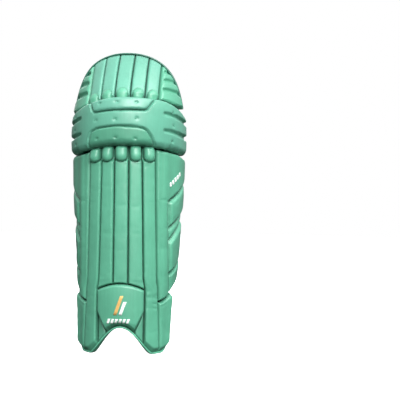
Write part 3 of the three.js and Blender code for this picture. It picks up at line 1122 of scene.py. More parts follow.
@dataclass
class Mark:
    """A thin print of slanted bars, laid on a finished face."""

    name: str
    body: str
    bars: list[tuple[Sequence[float], Sequence[float], Sequence[float]]]
    lift: float = 0.5

    def build(self, feeler: Feeler, material: bpy.types.Material, slot: Slot) -> None:
        """Lay every bar on the face under it.

        Args:
            feeler: finds the face.
            material: print finish.
            slot: record slot; not used.
        """
        points, faces, count = [], [], 0
        s, w = np.meshgrid(np.linspace(0, 1, 9), np.linspace(0, 1, 7), indexing="ij")
        for start, along, up in self.bars:
            u = start[0] + s * along[0] + w * up[0]
            v = start[1] + s * along[1] + w * up[1]
            t = np.degrees(u / SKIN.round_mm)
            top = feeler.touch(t, v, self.lift).reshape(-1, 3)
            under = feeler.touch(t, v, -0.4).reshape(-1, 3)
            n, m = s.shape
            quads = grid_quads(n, m, count)
            if along[0] * up[1] - along[1] * up[0] < 0:
                quads = quads[:, ::-1]
            faces += close_up(quads, open_edges(quads), n * m).tolist()
            points += [top, under]
            count += 2 * n * m
        piece = make_piece(self.name, np.concatenate(points), faces, {}, material)
        settle(piece, body=self.body)


# ------------------------------------------------------------------ sub-assemblies


@dataclass
class Part:
    """A cushion with its finish and its place in the frame."""

    cushion: Cushion
    finish: object
    slot: Slot
    stands_for: tuple[str, ...] = ()
    body: str = ""
    blend: tuple | None = None
    fill: float | None = 0.7
    piece: bpy.types.Object | None = None

    def dress(self, wardrobe: Wardrobe) -> bpy.types.Object:
        """Make the piece and settle it.

        Args:
            wardrobe: the finishes.

        Returns:
            The piece.
        """
        self.piece = self.cushion.finish(wardrobe.get(self.finish))
        settle(self.piece, self.stands_for, self.body, self.blend)
        if self.fill is None and self.blend is not None:
            self.cushion.cut()
        return self.piece


class SubAssembly:
    """A part of the pad made of cushions and bands."""

    wardrobe: Wardrobe
    parts: list[Part]

    def dress(self) -> None:
        """Make every cushion's piece."""
        for part in self.parts:
            part.dress(self.wardrobe)

    def made(self, *names: str) -> list[bpy.types.Object]:
        """Finished pieces whose names start with one of the names."""
        return [p.piece for p in self.parts if p.cushion.name.startswith(names)]


def inset_loop(place: Place, ds: float, dw: float, count: int = 160) -> Array:
    """Closed line inside a patch's outline.

    Args:
        place: the patch.
        ds: inset across, as a share.
        dw: inset along, as a share.
        count: number of points.

    Returns:
        (count, 2) angles and levels.
    """
    k = np.linspace(0, 4, count)
    s = np.clip(np.where(k < 1, k, np.where(k < 2, 1, np.where(k < 3, 3 - k, 0))), ds, 1 - ds)
    w = np.clip(np.where(k < 1, 0, np.where(k < 2, k - 1, np.where(k < 3, 1, 4 - k))), dw, 1 - dw)
    t, v = place(s, w)
    return np.stack([t, v], -1)


def board(name: str, place: Place, across: int, along: int, body: str, finish: object) -> Part:
    """Stiff backing board covered in cloth.

    Args:
        name: piece and node name.
        place: the board's outline on the skin.
        across: steps across.
        along: steps along.
        body: body that it rides on.
        finish: its cloth.

    Returns:
        The part.
    """
    cushion = Cushion(f"{name}_cover", [Patch(spread(across), spread(along), place)], const(-BOARD),
                      const(0.0), const(-1.5), radius=2.5, give=0.0)
    return Part(cushion, finish, Slot.BACKING, (name,), body, fill=None)


@dataclass
class Shin(SubAssembly):
    """Five canes, instep badge, ankle panels, lining and bound feet."""

    wardrobe: Wardrobe
    cane_height: float = 14.0
    cane_dip: float = 5.2
    badge_half: float = 47.0
    badge_height: float = 17.0
    roll_height: float = 14.0
    cover_height: float = 13.0
    cover_front: float = 338.0
    cover_rear: float = 389.0
    lining_span: float = 50.0
    parts: list[Part] = field(default_factory=list)

    def badge_top(self, x: Array | float) -> Array:
        """Arched top of the instep badge."""
        return 157.0 - 14.0 * (x / self.badge_half) ** 2

    def cane_place(self, i: int) -> Place:
        """Outline of shin cane i, 0 to 4 from the left."""

        def place(s: Array, w: Array) -> tuple[Array, Array]:
            """Angle and level at shares s, w."""
            if i in (0, 4):
                low = lerp(SKIN.cane_line(i, 20.0), SKIN.cane_line(i + 1, 20.0), s)
                bottom = SKIN.foot_edge(SKIN.angle_at(low, 20.0)) + 4.0
            else:
                bottom = self.badge_top(lerp(SKIN.cane_line(i, 150.0), SKIN.cane_line(i + 1, 150.0),
                                             s)) + 1.5
            v = lerp(bottom, 448.5, w)
            x = lerp(SKIN.cane_line(i, v) + 0.7, SKIN.cane_line(i + 1, v) - 0.7, s)
            return SKIN.angle_at(x, v), v

        return place

    def creases(self, strength: float) -> Field:
        """Fine folds across an outer cane over the instep.

        Args:
            strength: depth of the folds, mm.

        Returns:
            The depth as a field.
        """

        def depth(t: Array, v: Array) -> Array:
            """Depth of the folds, mm."""
            inside = ramp(v, 96, 102) * ramp(-v, -166,
                                             -156) * (1.0 - 0.9 * ramp(v, 111, 115)
                                                      * ramp(-v, -126, -120))
            wave = np.sin(2 * np.pi * v / 6.4 + 1.3 * np.sin(np.abs(t) * 0.33) + 0.8 * np.sin(v * 0.21))
            return strength * inside * (np.abs(wave) ** 0.7 - 1.0) * (0.7 + 0.3
                * np.sin(v * 0.5 + np.abs(t) * 0.21))

        return depth

    def canes(self) -> None:
        """The five long rolls down the front."""
        height = lambda t, v: lerp(self.cane_height, self.cane_dip, ramp(v, 422, 429)) * SKIN.pinch(t, v)
        for i in range(5):
            rows = 190 if i in (0, 4) else 90
            detail = self.creases(2.6 if i == 4 else 0.7) if i in (0, 4) else None
            cushion = Cushion(f"shin_cane_{i + 1}_cover",
                              [Patch(spread(14, 0.75), spread(rows, 0.5), self.cane_place(i))],
                              const(CLEAR), height, lambda t, v: SEAM_DIP * height(t, v), radius=3.8,
                              detail=detail, cap=0.8, give=0.35, dark_width=2.2)
            self.parts.append(Part(cushion, self.wardrobe.leather(), Slot.COVER, (f"shin_cane_{i + 1}",),
                                   "shin"))

    def roll_line(self, s: Array, v: Array) -> Array:
        """Distance from the centre plane across the side roll."""
        return lerp(np.abs(SKIN.cane_line(5, v)) + 0.7, SKIN.seam_x - 1.0, s)

    def cover_top(self, t: Array | float) -> Array:
        """Upper edge of the side cover."""
        return 449.6 - 9.5 * np.clip((np.abs(t) - 68.0) / 31.0, 0.0, 1.0)

    def side_covers(self) -> None:
        """Long side rolls that open into the smooth upper covers of the wings."""
        for side in Side:
            k = side.value

            def low_roll(s: Array, w: Array, k: int = k) -> tuple[Array, Array]:
                """Roll from the ankle seam up."""
                probe = lerp(77.0, SKIN.seam_x - 1.0, s)
                v = lerp(SKIN.ankle_seam(probe) + 1.2, self.cover_front, w)
                return k * SKIN.angle_at(self.roll_line(s, v), v), v

            def high_roll(s: Array, w: Array, k: int = k) -> tuple[Array, Array]:
                """Roll beside the upper cover."""
                v = lerp(self.cover_front, 449.6, w)
                return k * SKIN.angle_at(self.roll_line(s, v), v), v

            def cover(s: Array, w: Array, k: int = k) -> tuple[Array, Array]:
                """Upper cover round the side."""
                low = lerp(self.cover_front, self.cover_rear, s) + 0.6 * np.minimum(1.0, s * 10.0)
                v = lerp(low, self.cover_top(lerp(53.0, 100.0, s)), w)
                return k * lerp(SKIN.angle_at(SKIN.seam_x - 1.0, v), 99.6, s), v

            def swell(t: Array, v: Array) -> Array:
                """Soft roll beside the canes and shallow fall beyond it."""
                x = np.abs(SKIN.section(1, v) * np.sin(np.radians(t)))
                return (1.5 * np.exp(-(((x - 83.0) / 6.0) ** 2)) - 1.6
                        * np.exp(-(((x - 97.0) / 7.0) ** 2)) * ramp(v, 300, 350)
                        - 2.2 * np.exp(-(((x - 76.0) / 2.2) ** 2)) * ramp(v, 120, 200))

            cushion = Cushion(f"side_cover_{side.tag}", [
                Patch(spread(9, 0.4), spread(64, 0.5), low_roll),
                Patch(spread(9, 0.4), spread(34, 0.4), high_roll),
                Patch(spread(22, 0.5), spread(34, 0.4), cover),
            ], const(CLEAR), lambda t,
            v: lerp(self.roll_height, self.cover_height, ramp(np.abs(t), 55, 80)),
                radius=7.5, detail=swell, cap=1.4, give=0.35)
            self.parts.append(Part(cushion, self.wardrobe.leather(), Slot.COVER,
                                   (f"side_roll_{side.tag}", f"wing_upper_{side.tag}"),
                                   blend=side.hinge()))

    def ankles(self) -> None:
        """Smooth panels under the curved ankle seam."""
        for side in Side:

            def place(s: Array, w: Array, k: int = side.value) -> tuple[Array, Array]:
                """Angle and level at shares s, w."""
                edge = SKIN.foot_half
                probe = lerp(SKIN.angle_at(np.abs(SKIN.cane_line(5, 6.0)), 6.0), edge, s)
                above = lerp(SKIN.angle_at(np.abs(SKIN.cane_line(5, 118.0)), 118.0), edge, s)
                x = SKIN.section(1, 120.0) * np.sin(np.radians(above))
                top = SKIN.ankle_seam(x) - 1.2 + 2.1 * np.maximum(0.0, above - 68.0)
                v = lerp(SKIN.foot_edge(probe) + 4.6, top, w)
                start = SKIN.angle_at(np.abs(SKIN.cane_line(5, v)) + 0.7, v)
                return k * lerp(start, np.minimum(edge, SKIN.shin_edge(v) + 4.0), s), v

            cushion = Cushion(f"ankle_panel_{side.tag}_cover", [Patch(spread(12), spread(34), place)],
                              const(CLEAR),
                              lambda t, v: lerp(12.5, 17.0, ramp(np.abs(t), 60, 72)) * SKIN.pinch(t, v),
                              radius=6.0, cap=1.2)
            self.parts.append(Part(cushion, self.wardrobe.leather(), Slot.COVER,
                                   (f"ankle_panel_{side.tag}",), "shin"))

    def badge_place(self, s: Array, w: Array) -> tuple[Array, Array]:
        """Outline of the instep badge."""
        u = lerp(-1.0, 1.0, s)
        bottom = SKIN.foot_edge(SKIN.angle_at(u * 28.0, 55.0)) + 5.0
        v = lerp(bottom, self.badge_top(u * self.badge_half), w)
        narrow = np.clip((96.0 - v) / 44.0, 0.0, 1.0)
        return SKIN.angle_at(u * lerp(self.badge_half, 29.5, narrow), v), v

    def badge(self) -> None:
        """Raised badge over the instep, with the two gussets beside it."""

        def facets(t: Array, v: Array) -> Array:
            """Folded lower facets and a soft crown."""
            x = SKIN.section(1, v) * np.sin(np.radians(t))
            fold = 84.0 - 0.20 * np.abs(x)
            crown = 1.6 * np.clip(1 - (x / 44.0) ** 2, 0, 1) * np.clip(1 - ((v - 112.0) / 42.0) ** 2, 0,
                1)
            return crown - 0.30 * np.clip(fold - v - 8.0, 0.0, 22.0)

        cushion = Cushion("instep_badge_cover",
                          [Patch(spread(44, 0.5), spread(44, 0.5), self.badge_place)], const(CLEAR),
                          lambda t, v: self.badge_height * SKIN.pinch(t, v), lambda t,
                          v: 6.0 * SKIN.pinch(t, v), radius=6.5, edge=Edge.ROUND, detail=facets, cap=0.8,
                          give=0.35)
        self.parts.append(Part(cushion, self.wardrobe.leather(), Slot.COVER, ("instep_badge",), "shin"))
        for side in Side:

            def place(s: Array, w: Array, k: int = side.value) -> tuple[Array, Array]:
                """Angle and level at shares s, w."""
                x = lerp(47.6, 31.5, w)
                arch = SKIN.foot_edge(SKIN.angle_at(x, 40.0)) + 4.0
                top = lerp(91.5, 53.5, (47.6 - x) / 16.1)
                v = lerp(np.minimum(arch, top - 1.5), top, s)
                return k * SKIN.angle_at(x - 0.2, v), v

            gusset = Cushion(f"instep_gusset_{side.tag}_cover", [Patch(spread(12), spread(12), place)],
                             const(CLEAR), const(6.4),
                             radius=4.0, cap=0.8)
            # painted shade: the gussets take the darker copy of the cover leather
            self.parts.append(Part(gusset, self.wardrobe.shade(), Slot.SHADE,
                                   (f"instep_gusset_{side.tag}",), "shin"))

    def backs(self) -> None:
        """Backing board and quilted lining."""

        def board_place(s: Array, w: Array) -> tuple[Array, Array]:
            """Angle and level of the shin board."""
            bottom = SKIN.foot_edge(lerp(-1.0, 1.0, s) * SKIN.foot_half) + 4.0
            v = lerp(bottom, 444.0, w)
            return lerp(-1.0, 1.0, s) * SKIN.shin_edge(v), v

        self.parts.append(board("shin_board", board_place, 60, 70, "shin", self.wardrobe.backing()))

        def quilting(t: Array, v: Array) -> Array:
            """Sewn channels down the lining and across it."""
            lanes = np.array([-34, -17, 0, 17, 34])
            across = np.abs(t[:, None] - lanes).min(axis=1) * DEGREE
            rows = np.abs(v[:, None] - np.array([150, 230, 310, 390])).min(axis=1)
            return -3.4 * np.exp(-((across / 2.6) ** 2)) - 2.0 * np.exp(-((rows / 2.6) ** 2))

        def lining_place(s: Array, w: Array) -> tuple[Array, Array]:
            """Angle and level of the lining."""
            t = lerp(-self.lining_span, self.lining_span, s)
            return t, lerp(SKIN.foot_edge(t) + 14.0, 440.0, w)

        lining = Cushion("shin_lining_cover", [Patch(spread(64, 0.3), spread(110, 0.3), lining_place)],
                         const(-BOARD - CLEAR),
                         const(-BOARD - 6.2), const(-BOARD - 1.6), radius=7.0, detail=quilting, cap=1.2)
        self.parts.append(Part(lining, self.wardrobe.lining(), Slot.LINING, ("shin_lining",), "shin",
                               fill=0.5))

    def make(self) -> None:
        """List every cushion of the shin."""
        self.backs()
        self.canes()
        self.side_covers()
        self.ankles()
        self.badge()

    def bind(self) -> None:
        """Bound lower edge over the arch, round both feet and up their sides."""
        t = np.linspace(-72.0, 72.0, 170)
        arch = np.stack([t, SKIN.foot_edge(t) + 1.9], -1)
        climb = np.linspace(0.0, 1.0, 24)[1:]
        up = np.stack([np.full(23, 72.6), lerp(arch[-1, 1], 116.0, climb)], -1)
        line = np.concatenate([up[::-1] * (-1, 1), arch, up])
        smooth = smooth_line(line, 4)
        smooth[:, 1] = np.maximum(smooth[:, 1], 2.1)
        piece = Band("instep_binding_cover", smooth, 2.2, -BOARD - 1.0,
                     7.0).build(self.wardrobe.get(self.wardrobe.binding()))
        settle(piece, ("instep_binding",), "shin")

    def sew(self, sewing: Sewing) -> None:
        """Stitches along the badge, the ankle seams and the side seams."""
        feeler = Feeler(self.made("instep_badge", "ankle_panel", "side_cover", "instep_gusset"))
        loop = inset_loop(self.badge_place, 0.02, 0.025, 220)
        sewing.run("shin", feeler.touch(loop[:, 0], loop[:, 1], 0.25))
        for side in Side:
            k = side.value
            v = np.linspace(133.0, 335.0, 120)
            sewing.run("shin", feeler.touch(k * SKIN.angle_at(SKIN.seam_x - 3.2, v), v, SUNK_STITCH))
            x = np.linspace(79.0, 90.0, 30)
            v = SKIN.ankle_seam(x) + 4.2
            sewing.run("shin", feeler.touch(k * SKIN.angle_at(x, v), v, SUNK_STITCH))
            x = np.linspace(79.5, 94.0, 36)
            v = SKIN.ankle_seam(x) - 4.0
            sewing.run("shin", feeler.touch(k * SKIN.angle_at(x, v), v, SUNK_STITCH))
            s = np.linspace(0.12, 0.97, 70)
            v = lerp(self.cover_front, self.cover_rear, s) + 4.0
            sewing.run(f"wing_{side.tag}",
                       feeler.touch(k * lerp(SKIN.angle_at(SKIN.seam_x - 1.0, v), 99.6, s), v,
                                    SUNK_STITCH))
        inside = Feeler(self.made("shin_lining"))
        for t in (-34, -17, 0, 17, 34):
            v = np.linspace(SKIN.foot_edge(float(t)) + 20.0, 434.0, 150)
            sewing.run("shin", inside.touch(np.full(150, float(t)), v, SUNK_STITCH, inside=True), "pale")

    def mark(self) -> None:
        """Plain slanted bars in gold and white, on the badge and the right wing."""
        feeler = Feeler(self.made("instep_badge", "side_cover"))
        gold, white = self.wardrobe.get(self.wardrobe.gold()), self.wardrobe.get(self.wardrobe.white())
        Mark("badge_bars_gold", "shin", [((-13.0, 90.0), (7.0, 0.0), (14.0, 42.0))]).build(feeler, gold,
            Slot.COVER)
        bars = [((-2.0, 90.0), (7.0, 0.0), (9.7, 29.0))]
        bars += [((-28.0 + 8.4 * n, 71.5), (5.4, 0.0), (3.2, 10.0)) for n in range(6)]
        Mark("badge_bars_white", "shin", bars).build(feeler, white, Slot.COVER)
        run, up = np.array([0.80, 0.60]), np.array([-0.60, 0.80])
        start = np.array([104.0, 370.0])
        bars = [(start + run * 9.6 * n, run * 6.2, up * 8.6 + run * 3.0) for n in range(5)]
        Mark("wing_bars_white", "wing_right", bars).build(feeler, white, Slot.COVER)


@dataclass
class Wing(SubAssembly):
    """Side wing of one side: slanted panels on a hinged board."""

    wardrobe: Wardrobe
    side: Side
    rear: float = 100.0
    seams: tuple[tuple[str, float, float, float], ...] = (
        ("upper", 338, 389, 0), ("diamond", 276, 324, 12.5), ("strip", 247, 303, 9.0),
        ("lower", 172, 208, 12.0), ("bottom", 129, 174, 12.0))
    parts: list[Part] = field(default_factory=list)

    def foot(self, t: Array) -> Array:
        """Lower edge of the wing."""
        return 131.5 + 1.15 * np.maximum(0.0, t - 65.0)

    def angle(self, s: Array, v: Array) -> Array:
        """Angle across the wing."""
        return lerp(SKIN.angle_at(SKIN.seam_x + 0.6, v), self.rear, s)

    def make(self) -> None:
        """List the board and the four lower panels."""
        k, tag = self.side.value, self.side.tag

        def board_place(s: Array, w: Array) -> tuple[Array, Array]:
            """Angle and level of the board."""
            top = 448.0 - 10.0 * np.clip((lerp(62.0, self.rear, s) - 53.0) / 47.0, 0.0, 1.0)
            v = lerp(self.foot(lerp(65.0, self.rear, s)), top, w)
            return k * self.angle(s, v), v

        self.parts.append(board(f"wing_board_{tag}", board_place, 20, 60, f"wing_{tag}",
                                self.wardrobe.backing()))
        self.hinge_cloth()
        for above, (name, front, rear, height) in zip(self.seams, self.seams[1:]):

            def place(s: Array, w: Array, a: tuple = above,
                      b: tuple = (name, front, rear)) -> tuple[Array, Array]:
                """Angle and level at shares s, w."""
                low = self.foot(lerp(65.0, self.rear, s)) + 0.2 if b[0] == "bottom" else lerp(b[1], b[2],
                    s)
                v = lerp(low + 0.6, lerp(a[1], a[2], s) - 0.6, w)
                return k * self.angle(s, v), v

            bevel = name in ("diamond", "strip", "lower")
            cushion = Cushion(f"wing_{name}_{tag}_cover",
                              [Patch(spread(20), spread(14 if name == "strip" else 26), place)],
                              const(CLEAR),
                              const(height), const(2.6), radius=8.0 if bevel else 6.0,
                              edge=Edge.BEVEL if bevel else Edge.ROUND, cap=1.2)
            self.parts.append(Part(cushion, self.wardrobe.leather(), Slot.COVER, (f"wing_{name}_{tag}",),
                                   f"wing_{tag}"))

    def hinge_cloth(self) -> None:
        """Strip of cloth behind the seam that the wing bends on."""
        k, tag = self.side.value, self.side.tag

        def place(s: Array, w: Array) -> tuple[Array, Array]:
            """Angle and level at shares s, w."""
            v = lerp(134.0, 436.0, w)
            return k * (SKIN.angle_at(SKIN.seam_x, v) + lerp(-5.0, 5.0, s)), v

        cloth = Cushion(f"wing_hinge_cloth_{tag}", [Patch(spread(10, 0.1), spread(60, 0.1), place)],
                        const(-BOARD - 0.4),
                        const(-BOARD - 1.8), const(-BOARD - 0.9), radius=3.0, give=0.0)
        self.parts.append(Part(cloth, self.wardrobe.backing(), Slot.BACKING, fill=None,
                               blend=self.side.hinge()))

    def bind(self) -> None:
        """Bound rear and lower edges."""
        k, tag = self.side.value, self.side.tag
        v = np.linspace(177.0, 437.0, 90)
        line = np.stack([np.full(90, k * (self.rear + 0.6)), v], -1)
        t = np.linspace(68.0, self.rear + 0.6, 34)[:-1]
        foot = np.stack([k * t, self.foot(t) - 1.2], -1)
        line = np.concatenate([foot, line])
        line = smooth_line(line, 6)
        piece = Band(f"wing_binding_{tag}", line, 1.7, -BOARD - 0.8,
                     3.4).build(self.wardrobe.get(self.wardrobe.binding()))
        settle(piece, body=f"wing_{tag}")

    def sew(self, sewing: Sewing) -> None:
        """Stitches beside the hinge seam and along the slanted seams."""
        k, tag = self.side.value, self.side.tag
        feeler = Feeler(self.made("wing_diamond", "wing_strip", "wing_lower", "wing_bottom"))
        for (_, top_front, top_rear, _), (name, front, _, _) in zip(self.seams, self.seams[1:]):
            s = np.linspace(0.06, 0.96, 50)
            v = lerp(top_front, top_rear, s) - 3.0
            sewing.run(f"wing_{tag}", feeler.touch(k * self.angle(s, v), v, SUNK_STITCH))
            low = front + 4.0 if name != "bottom" else 136.0
            v = np.linspace(low, top_front - 4.0, 40)
            sewing.run(f"wing_{tag}", feeler.touch(k * self.angle(np.full(40, 0.05), v), v, SUNK_STITCH))


@dataclass
class Knee(SubAssembly):
    """Broad knee roll with two set-in panels, five finger rolls and the knee cup."""

    wardrobe: Wardrobe
    low: float = 450.8
    high: float = 551.0
    front: float = 34.0
    sides: float = 15.0
    rear: float = 97.0
    dimples: tuple[tuple[float, float], ...] = (
        (-17.5, 540), (-3, 538), (13.5, 538), (-21, 507), (-4, 503.5), (14, 505.5), (-20, 468),
        (-3.5, 466.5), (12.5, 464.5),
        (51, 532), (51.5, 504), (50, 470), (-50, 534), (-50.5, 504), (-49, 470))
    slots: tuple[tuple[float, float], ...] = ((523.5, 0.13), (488.5, 0.11))
    parts: list[Part] = field(default_factory=list)

    def inner(self, t: Array, v: Array) -> Array:
        """Hidden face of the roll."""
        return lerp(16.8, CLEAR, np.clip((np.abs(t) - 44.0) / 4.0, 0.0, 1.0)) + 0.0 * v

    def lip(self, t: Array, v: Array) -> Array:
        """Height of the roll at its outline."""
        return np.maximum(lerp(16.8, CLEAR, np.clip((np.abs(t) - 30.0) / 30.0, 0.0, 1.0)),
                          self.inner(t, v)) + 2.0

    def crest(self, t: Array, v: Array) -> Array:
        """Full height of the roll."""
        return lerp(self.front, self.sides,
                    ramp(np.abs(t), 16,
                         84)) + 1.2 * np.sin(np.pi * np.clip((v - self.low) / (self.high - self.low), 0,
                                                             1))

    def ceiling(self, t: Array) -> Array:
        """Upper edge of the roll."""
        return self.high - 5.0 * ramp(np.abs(t), 48.0, 92.0)

    def rise(self, t: Array, v: Array) -> Array:
        """Share of the full height: a broad turn below, a tight one above and at the rear."""
        gap = np.minimum(np.minimum((v - self.low) / 15.0, (self.ceiling(t) - v) / 6.0),
                         (self.rear - np.abs(t)) * DEGREE / 9.0)
        return np.sqrt(1.0 - (1.0 - np.clip(gap, 0.0, 1.0)) ** 2)

    def face(self, t: Array, v: Array) -> Array:
        """Seen face of the roll without its sewn detail."""
        return lerp(self.lip(t, v), self.crest(t, v), self.rise(t, v))

    def panel_outline(self, name: str) -> Array:
        """Corners of a set-in panel, angle and level."""
        if name == "upper":
            return np.array([(-28.5, 551), (-25, 529), (-23, 523), (0, 520.5), (21, 522.5), (23, 525),
                             (31, 551)], float)
        return np.array([(-30.5, 451), (-28.5, 475), (-26, 486), (-21, 490), (0, 491), (17, 488.5),
                         (21.5, 485.5), (26, 473), (30.5, 451)], float)

    def dents(self, t: Array, v: Array) -> Array:
        """Small tufted dimples."""
        p = SKIN.flat(t, v)
        gap = np.stack([np.linalg.norm(p - SKIN.flat(*np.array(d)), axis=1) for d in self.dimples]).min(
            axis=0)
        return -3.4 * np.exp(-((gap / 1.9) ** 2)) - 0.5 * np.exp(-((gap / 4.5) ** 2))

    def grooves(self, t: Array, v: Array) -> Array:
        """Recess under the panels, side slots and dimples of the roll."""
        p = SKIN.flat(t, v)
        depth = self.dents(t, v)
        for name in ("upper", "lower"):
            corners = self.panel_outline(name)
            gap = from_polygon(p, SKIN.flat(corners[:, 0], corners[:, 1]))
            depth -= 7.0 * (1.0 - ramp(gap, -0.8, 1.6))
        for level, slope in self.slots:
            out = np.abs(t)
            half = lerp(2.9, 5.2, np.clip((out - 40.0) / 50.0, 0.0, 1.0))
            dv = np.abs(v - level - slope * (out - 42.0))
            depth -= 6.2 * (1.0 - ramp(dv, half - 1.0, half + 1.4)) * ramp(out, 38.0, 40.5)
        return depth

    def make(self) -> None:
        """List the board, roll, panels, fingers and cup."""
        w = self.wardrobe
        self.parts.append(board("knee_board", lambda s,
                                q: (lerp(-self.rear, self.rear, s), lerp(KNEE_BOTTOM, 546.0, q)), 70, 24,
                                "knee", w.backing()))
        roll = Cushion("knee_roll_cover",
                       [Patch(np.linspace(0, 1, 171), spread(48, 0.35), lambda s,
                              q: (lerp(-self.rear, self.rear, s),
                                  lerp(self.low, self.ceiling(lerp(-self.rear, self.rear, s)), q)))],
                       self.inner, self.crest, self.lip, rise=self.rise, detail=self.grooves, cap=1.2,
                       give=0.3, dark_width=6.0)
        # painted sheen on the roll and upper panel, painted shade on the lower panel: copies of the one
        # cover leather
        self.parts.append(Part(roll, w.knee(), Slot.COVER, ("knee_roll",), "knee", fill=0.85))
        for name, finish, slot in (("upper", w.top(), Slot.TOP), ("lower", w.shade(), Slot.SHADE)):

            def place(s: Array, q: Array, name: str = name) -> tuple[Array, Array]:
                """Angle and level at shares s, q, a little inside the outline."""
                if name == "upper":
                    low = np.interp(s, [0, 0.05, 0.5, 0.95, 1], [526.0, 524.4, 522.3, 524.1, 526.5])
                    v = lerp(low, 549.4, q)
                    return lerp(np.interp(v, [523, 529, 551], [-23.0, -25.0, -28.5]) + 0.8,
                                np.interp(v, [522.5, 525, 551], [21.0, 23.0, 31.0]) - 0.8, s), v
                high = np.interp(s, [0, 0.04, 0.14, 0.5, 0.86, 0.96, 1],
                                 [484.0, 486.4, 488.6, 489.4, 487.4, 484.9, 482.0])
                v = lerp(452.6, high, q)
                return lerp(np.interp(v, [451, 475, 486], [-30.5, -28.5, -26.0]) + 0.9,
                            np.interp(v, [451, 473, 485.5], [30.5, 26.0, 21.5]) - 0.9, s), v

            cushion = Cushion(f"knee_{name}_panel_cover",
                              [Patch(spread(52, 0.4), spread(24, 0.5), place)],
                              lambda t, v: self.face(t, v) - 5.6, lambda t, v: self.face(t, v) + 1.8,
                              lambda t, v: self.face(t, v) - 3.0,
                              radius=4.6, detail=self.dents, cap=0.8, give=0.35, dark_width=3.0)
            self.parts.append(Part(cushion, finish, slot, (f"knee_{name}_panel",), "knee", fill=0.75))
        for i in range(5):
            self.finger(i)
        self.bridges()
        cup = Cushion("knee_cup_cover",
                      [Patch(spread(40, 0.4), spread(26, 0.4), lambda s,
                             q: (lerp(-48.0, 48.0, s), lerp(456.0, 534.0, q)))],
                      const(-BOARD - CLEAR), const(-BOARD - 9.6), const(-BOARD - 2.4), radius=13.0,
                      detail=lambda t,
                      v: -3.0 * np.exp(-((np.abs(np.abs(t) - 20.0) * DEGREE / 2.6) ** 2)) - 2.0
                      * np.exp(-(((v - 495.0) / 2.6) ** 2)), cap=2.0)
        self.parts.append(Part(cup, w.lining(), Slot.LINING, ("knee_cup",), "knee", fill=0.6))

    def finger(self, i: int) -> None:
        """One finger roll, with round ends that show above and below the knee roll.

        Args:
            i: 0 to 4 from the left.
        """
        start, stop = 422.5, 571.5
        hat = (-70, -44.5, -15.7, 15.7, 44.5, 70)
        low = 0.5 * (SKIN.cane_line(i, 432.0) + SKIN.cane_line(i + 1, 432.0))
        top = 0.5 * (hat[i] + hat[i + 1])
        wide = 0.5 * (SKIN.cane_line(i + 1, 432.0) - SKIN.cane_line(i, 432.0))

        def place(s: Array, q: Array) -> tuple[Array, Array]:
            """Angle and level at shares s, q."""
            v = lerp(start, stop, q)
            half = lerp(wide - 1.7, wide - 2.6, ramp(v, 500, 552))
            end = np.clip(np.minimum(v - start, stop - v) / 11.0, 0.0, 1.0)
            half = half * np.sqrt(np.maximum(0.10, 1.0 - (1.0 - end) ** 2))
            return SKIN.angle_at(lerp(low, top, ramp(v, 445, 552)) + lerp(-half, half, s), v), v

        rows = ([422.5, 428, 436, 447, 452, 546, 552, 560, 571.5],
                [24.0, 24.5, 24.5, 22.0, 16, 16, 18.5, 22.0, 22.0])
        inner = ([422, 427, 431, 447, 452, 546, 551, 560, 572],
                 [14.9, 13.5, 6.6, 6.4, CLEAR, CLEAR, 6.6, 14.2, 14.8])
        cushion = Cushion(f"knee_finger_{i + 1}_cover", [Patch(spread(14, 0.5), spread(70, 0.4), place)],
                          lambda t, v: np.interp(v, *inner), lambda t, v: np.interp(v, *rows),
                          lambda t, v: np.interp(v, *inner) + 1.0, radius=9.5, cap=0.5, give=0.3,
                          dark_width=5.0)
        self.parts.append(Part(cushion, self.wardrobe.leather(), Slot.TOP, (f"knee_finger_{i + 1}",),
                               "knee", fill=0.85))

    def bridges(self) -> None:
        """Inner cloth that closes the folds under and over the knee."""
        w = self.wardrobe
        for name, low, high, span, pair, ends in (
            ("lower", 433.0, 462.0, 95.0, ("shin", "knee"), (0.438, 0.450)),
            ("upper", 538.0, 563.0, 74.0, ("knee", "top_hat"), (0.536, 0.552)),
        ):
            cushion = Cushion(f"knee_bridge_{name}",
                              [Patch(spread(60, 0.1), spread(12, 0.1), lambda s, q, a=low, b=high,
                                     c=span: (lerp(-c, c, s), lerp(a, b, q)))],
                              const(-BOARD - 0.5), const(-BOARD - 2.2), const(-BOARD - 1.0), radius=4.0,
                              give=0.0)
            self.parts.append(Part(cushion, w.backing(), Slot.BACKING,
                                   blend=(*pair, (0, 0, ends[0]), (0, 0, ends[1])), fill=None))

    def bind(self) -> None:
        """Bound rear edges."""
        for side in Side:
            v = np.linspace(451.5, 548.5, 50)
            line = np.stack([np.full(50, side.value * (self.rear + 0.6)), v], -1)
            piece = Band(f"knee_binding_{side.tag}", line, 1.6, -BOARD - 0.6,
                         4.0).build(self.wardrobe.get(self.wardrobe.binding()))
            settle(piece, body="knee")

    def sew(self, sewing: Sewing) -> None:
        """Stitches round the panels and a tuft in every dimple."""
        feeler = Feeler(self.made("knee_roll", "knee_upper", "knee_lower"))
        for name in ("upper", "lower"):
            corners = self.panel_outline(name)
            middle = corners.mean(axis=0)
            k = np.linspace(0, len(corners) - 1.001, 200)
            whole = k.astype(int)
            line = lerp(corners[whole], corners[whole + 1], (k - whole)[:, None])
            for grow in (0.925, 1.075):
                run = middle + (line - middle) * (grow, 1 + (grow - 1) * 1.6)
                run = run[(run[:, 1] > 456.0) & (run[:, 1] < 545.0)]
                sewing.run("knee", feeler.touch(run[:, 0], run[:, 1], SUNK_STITCH))
        for t, v in self.dimples:
            sewing.run("knee", feeler.touch(t + np.linspace(-1.1, 1.1, 5), np.full(5, v), 0.3))
        inside = Feeler(self.made("knee_cup"))
        for t in (-20.0, 20.0):
            sewing.run("knee",
                       inside.touch(np.full(40, t), np.linspace(461, 529, 40), SUNK_STITCH, inside=True),
                       "pale")


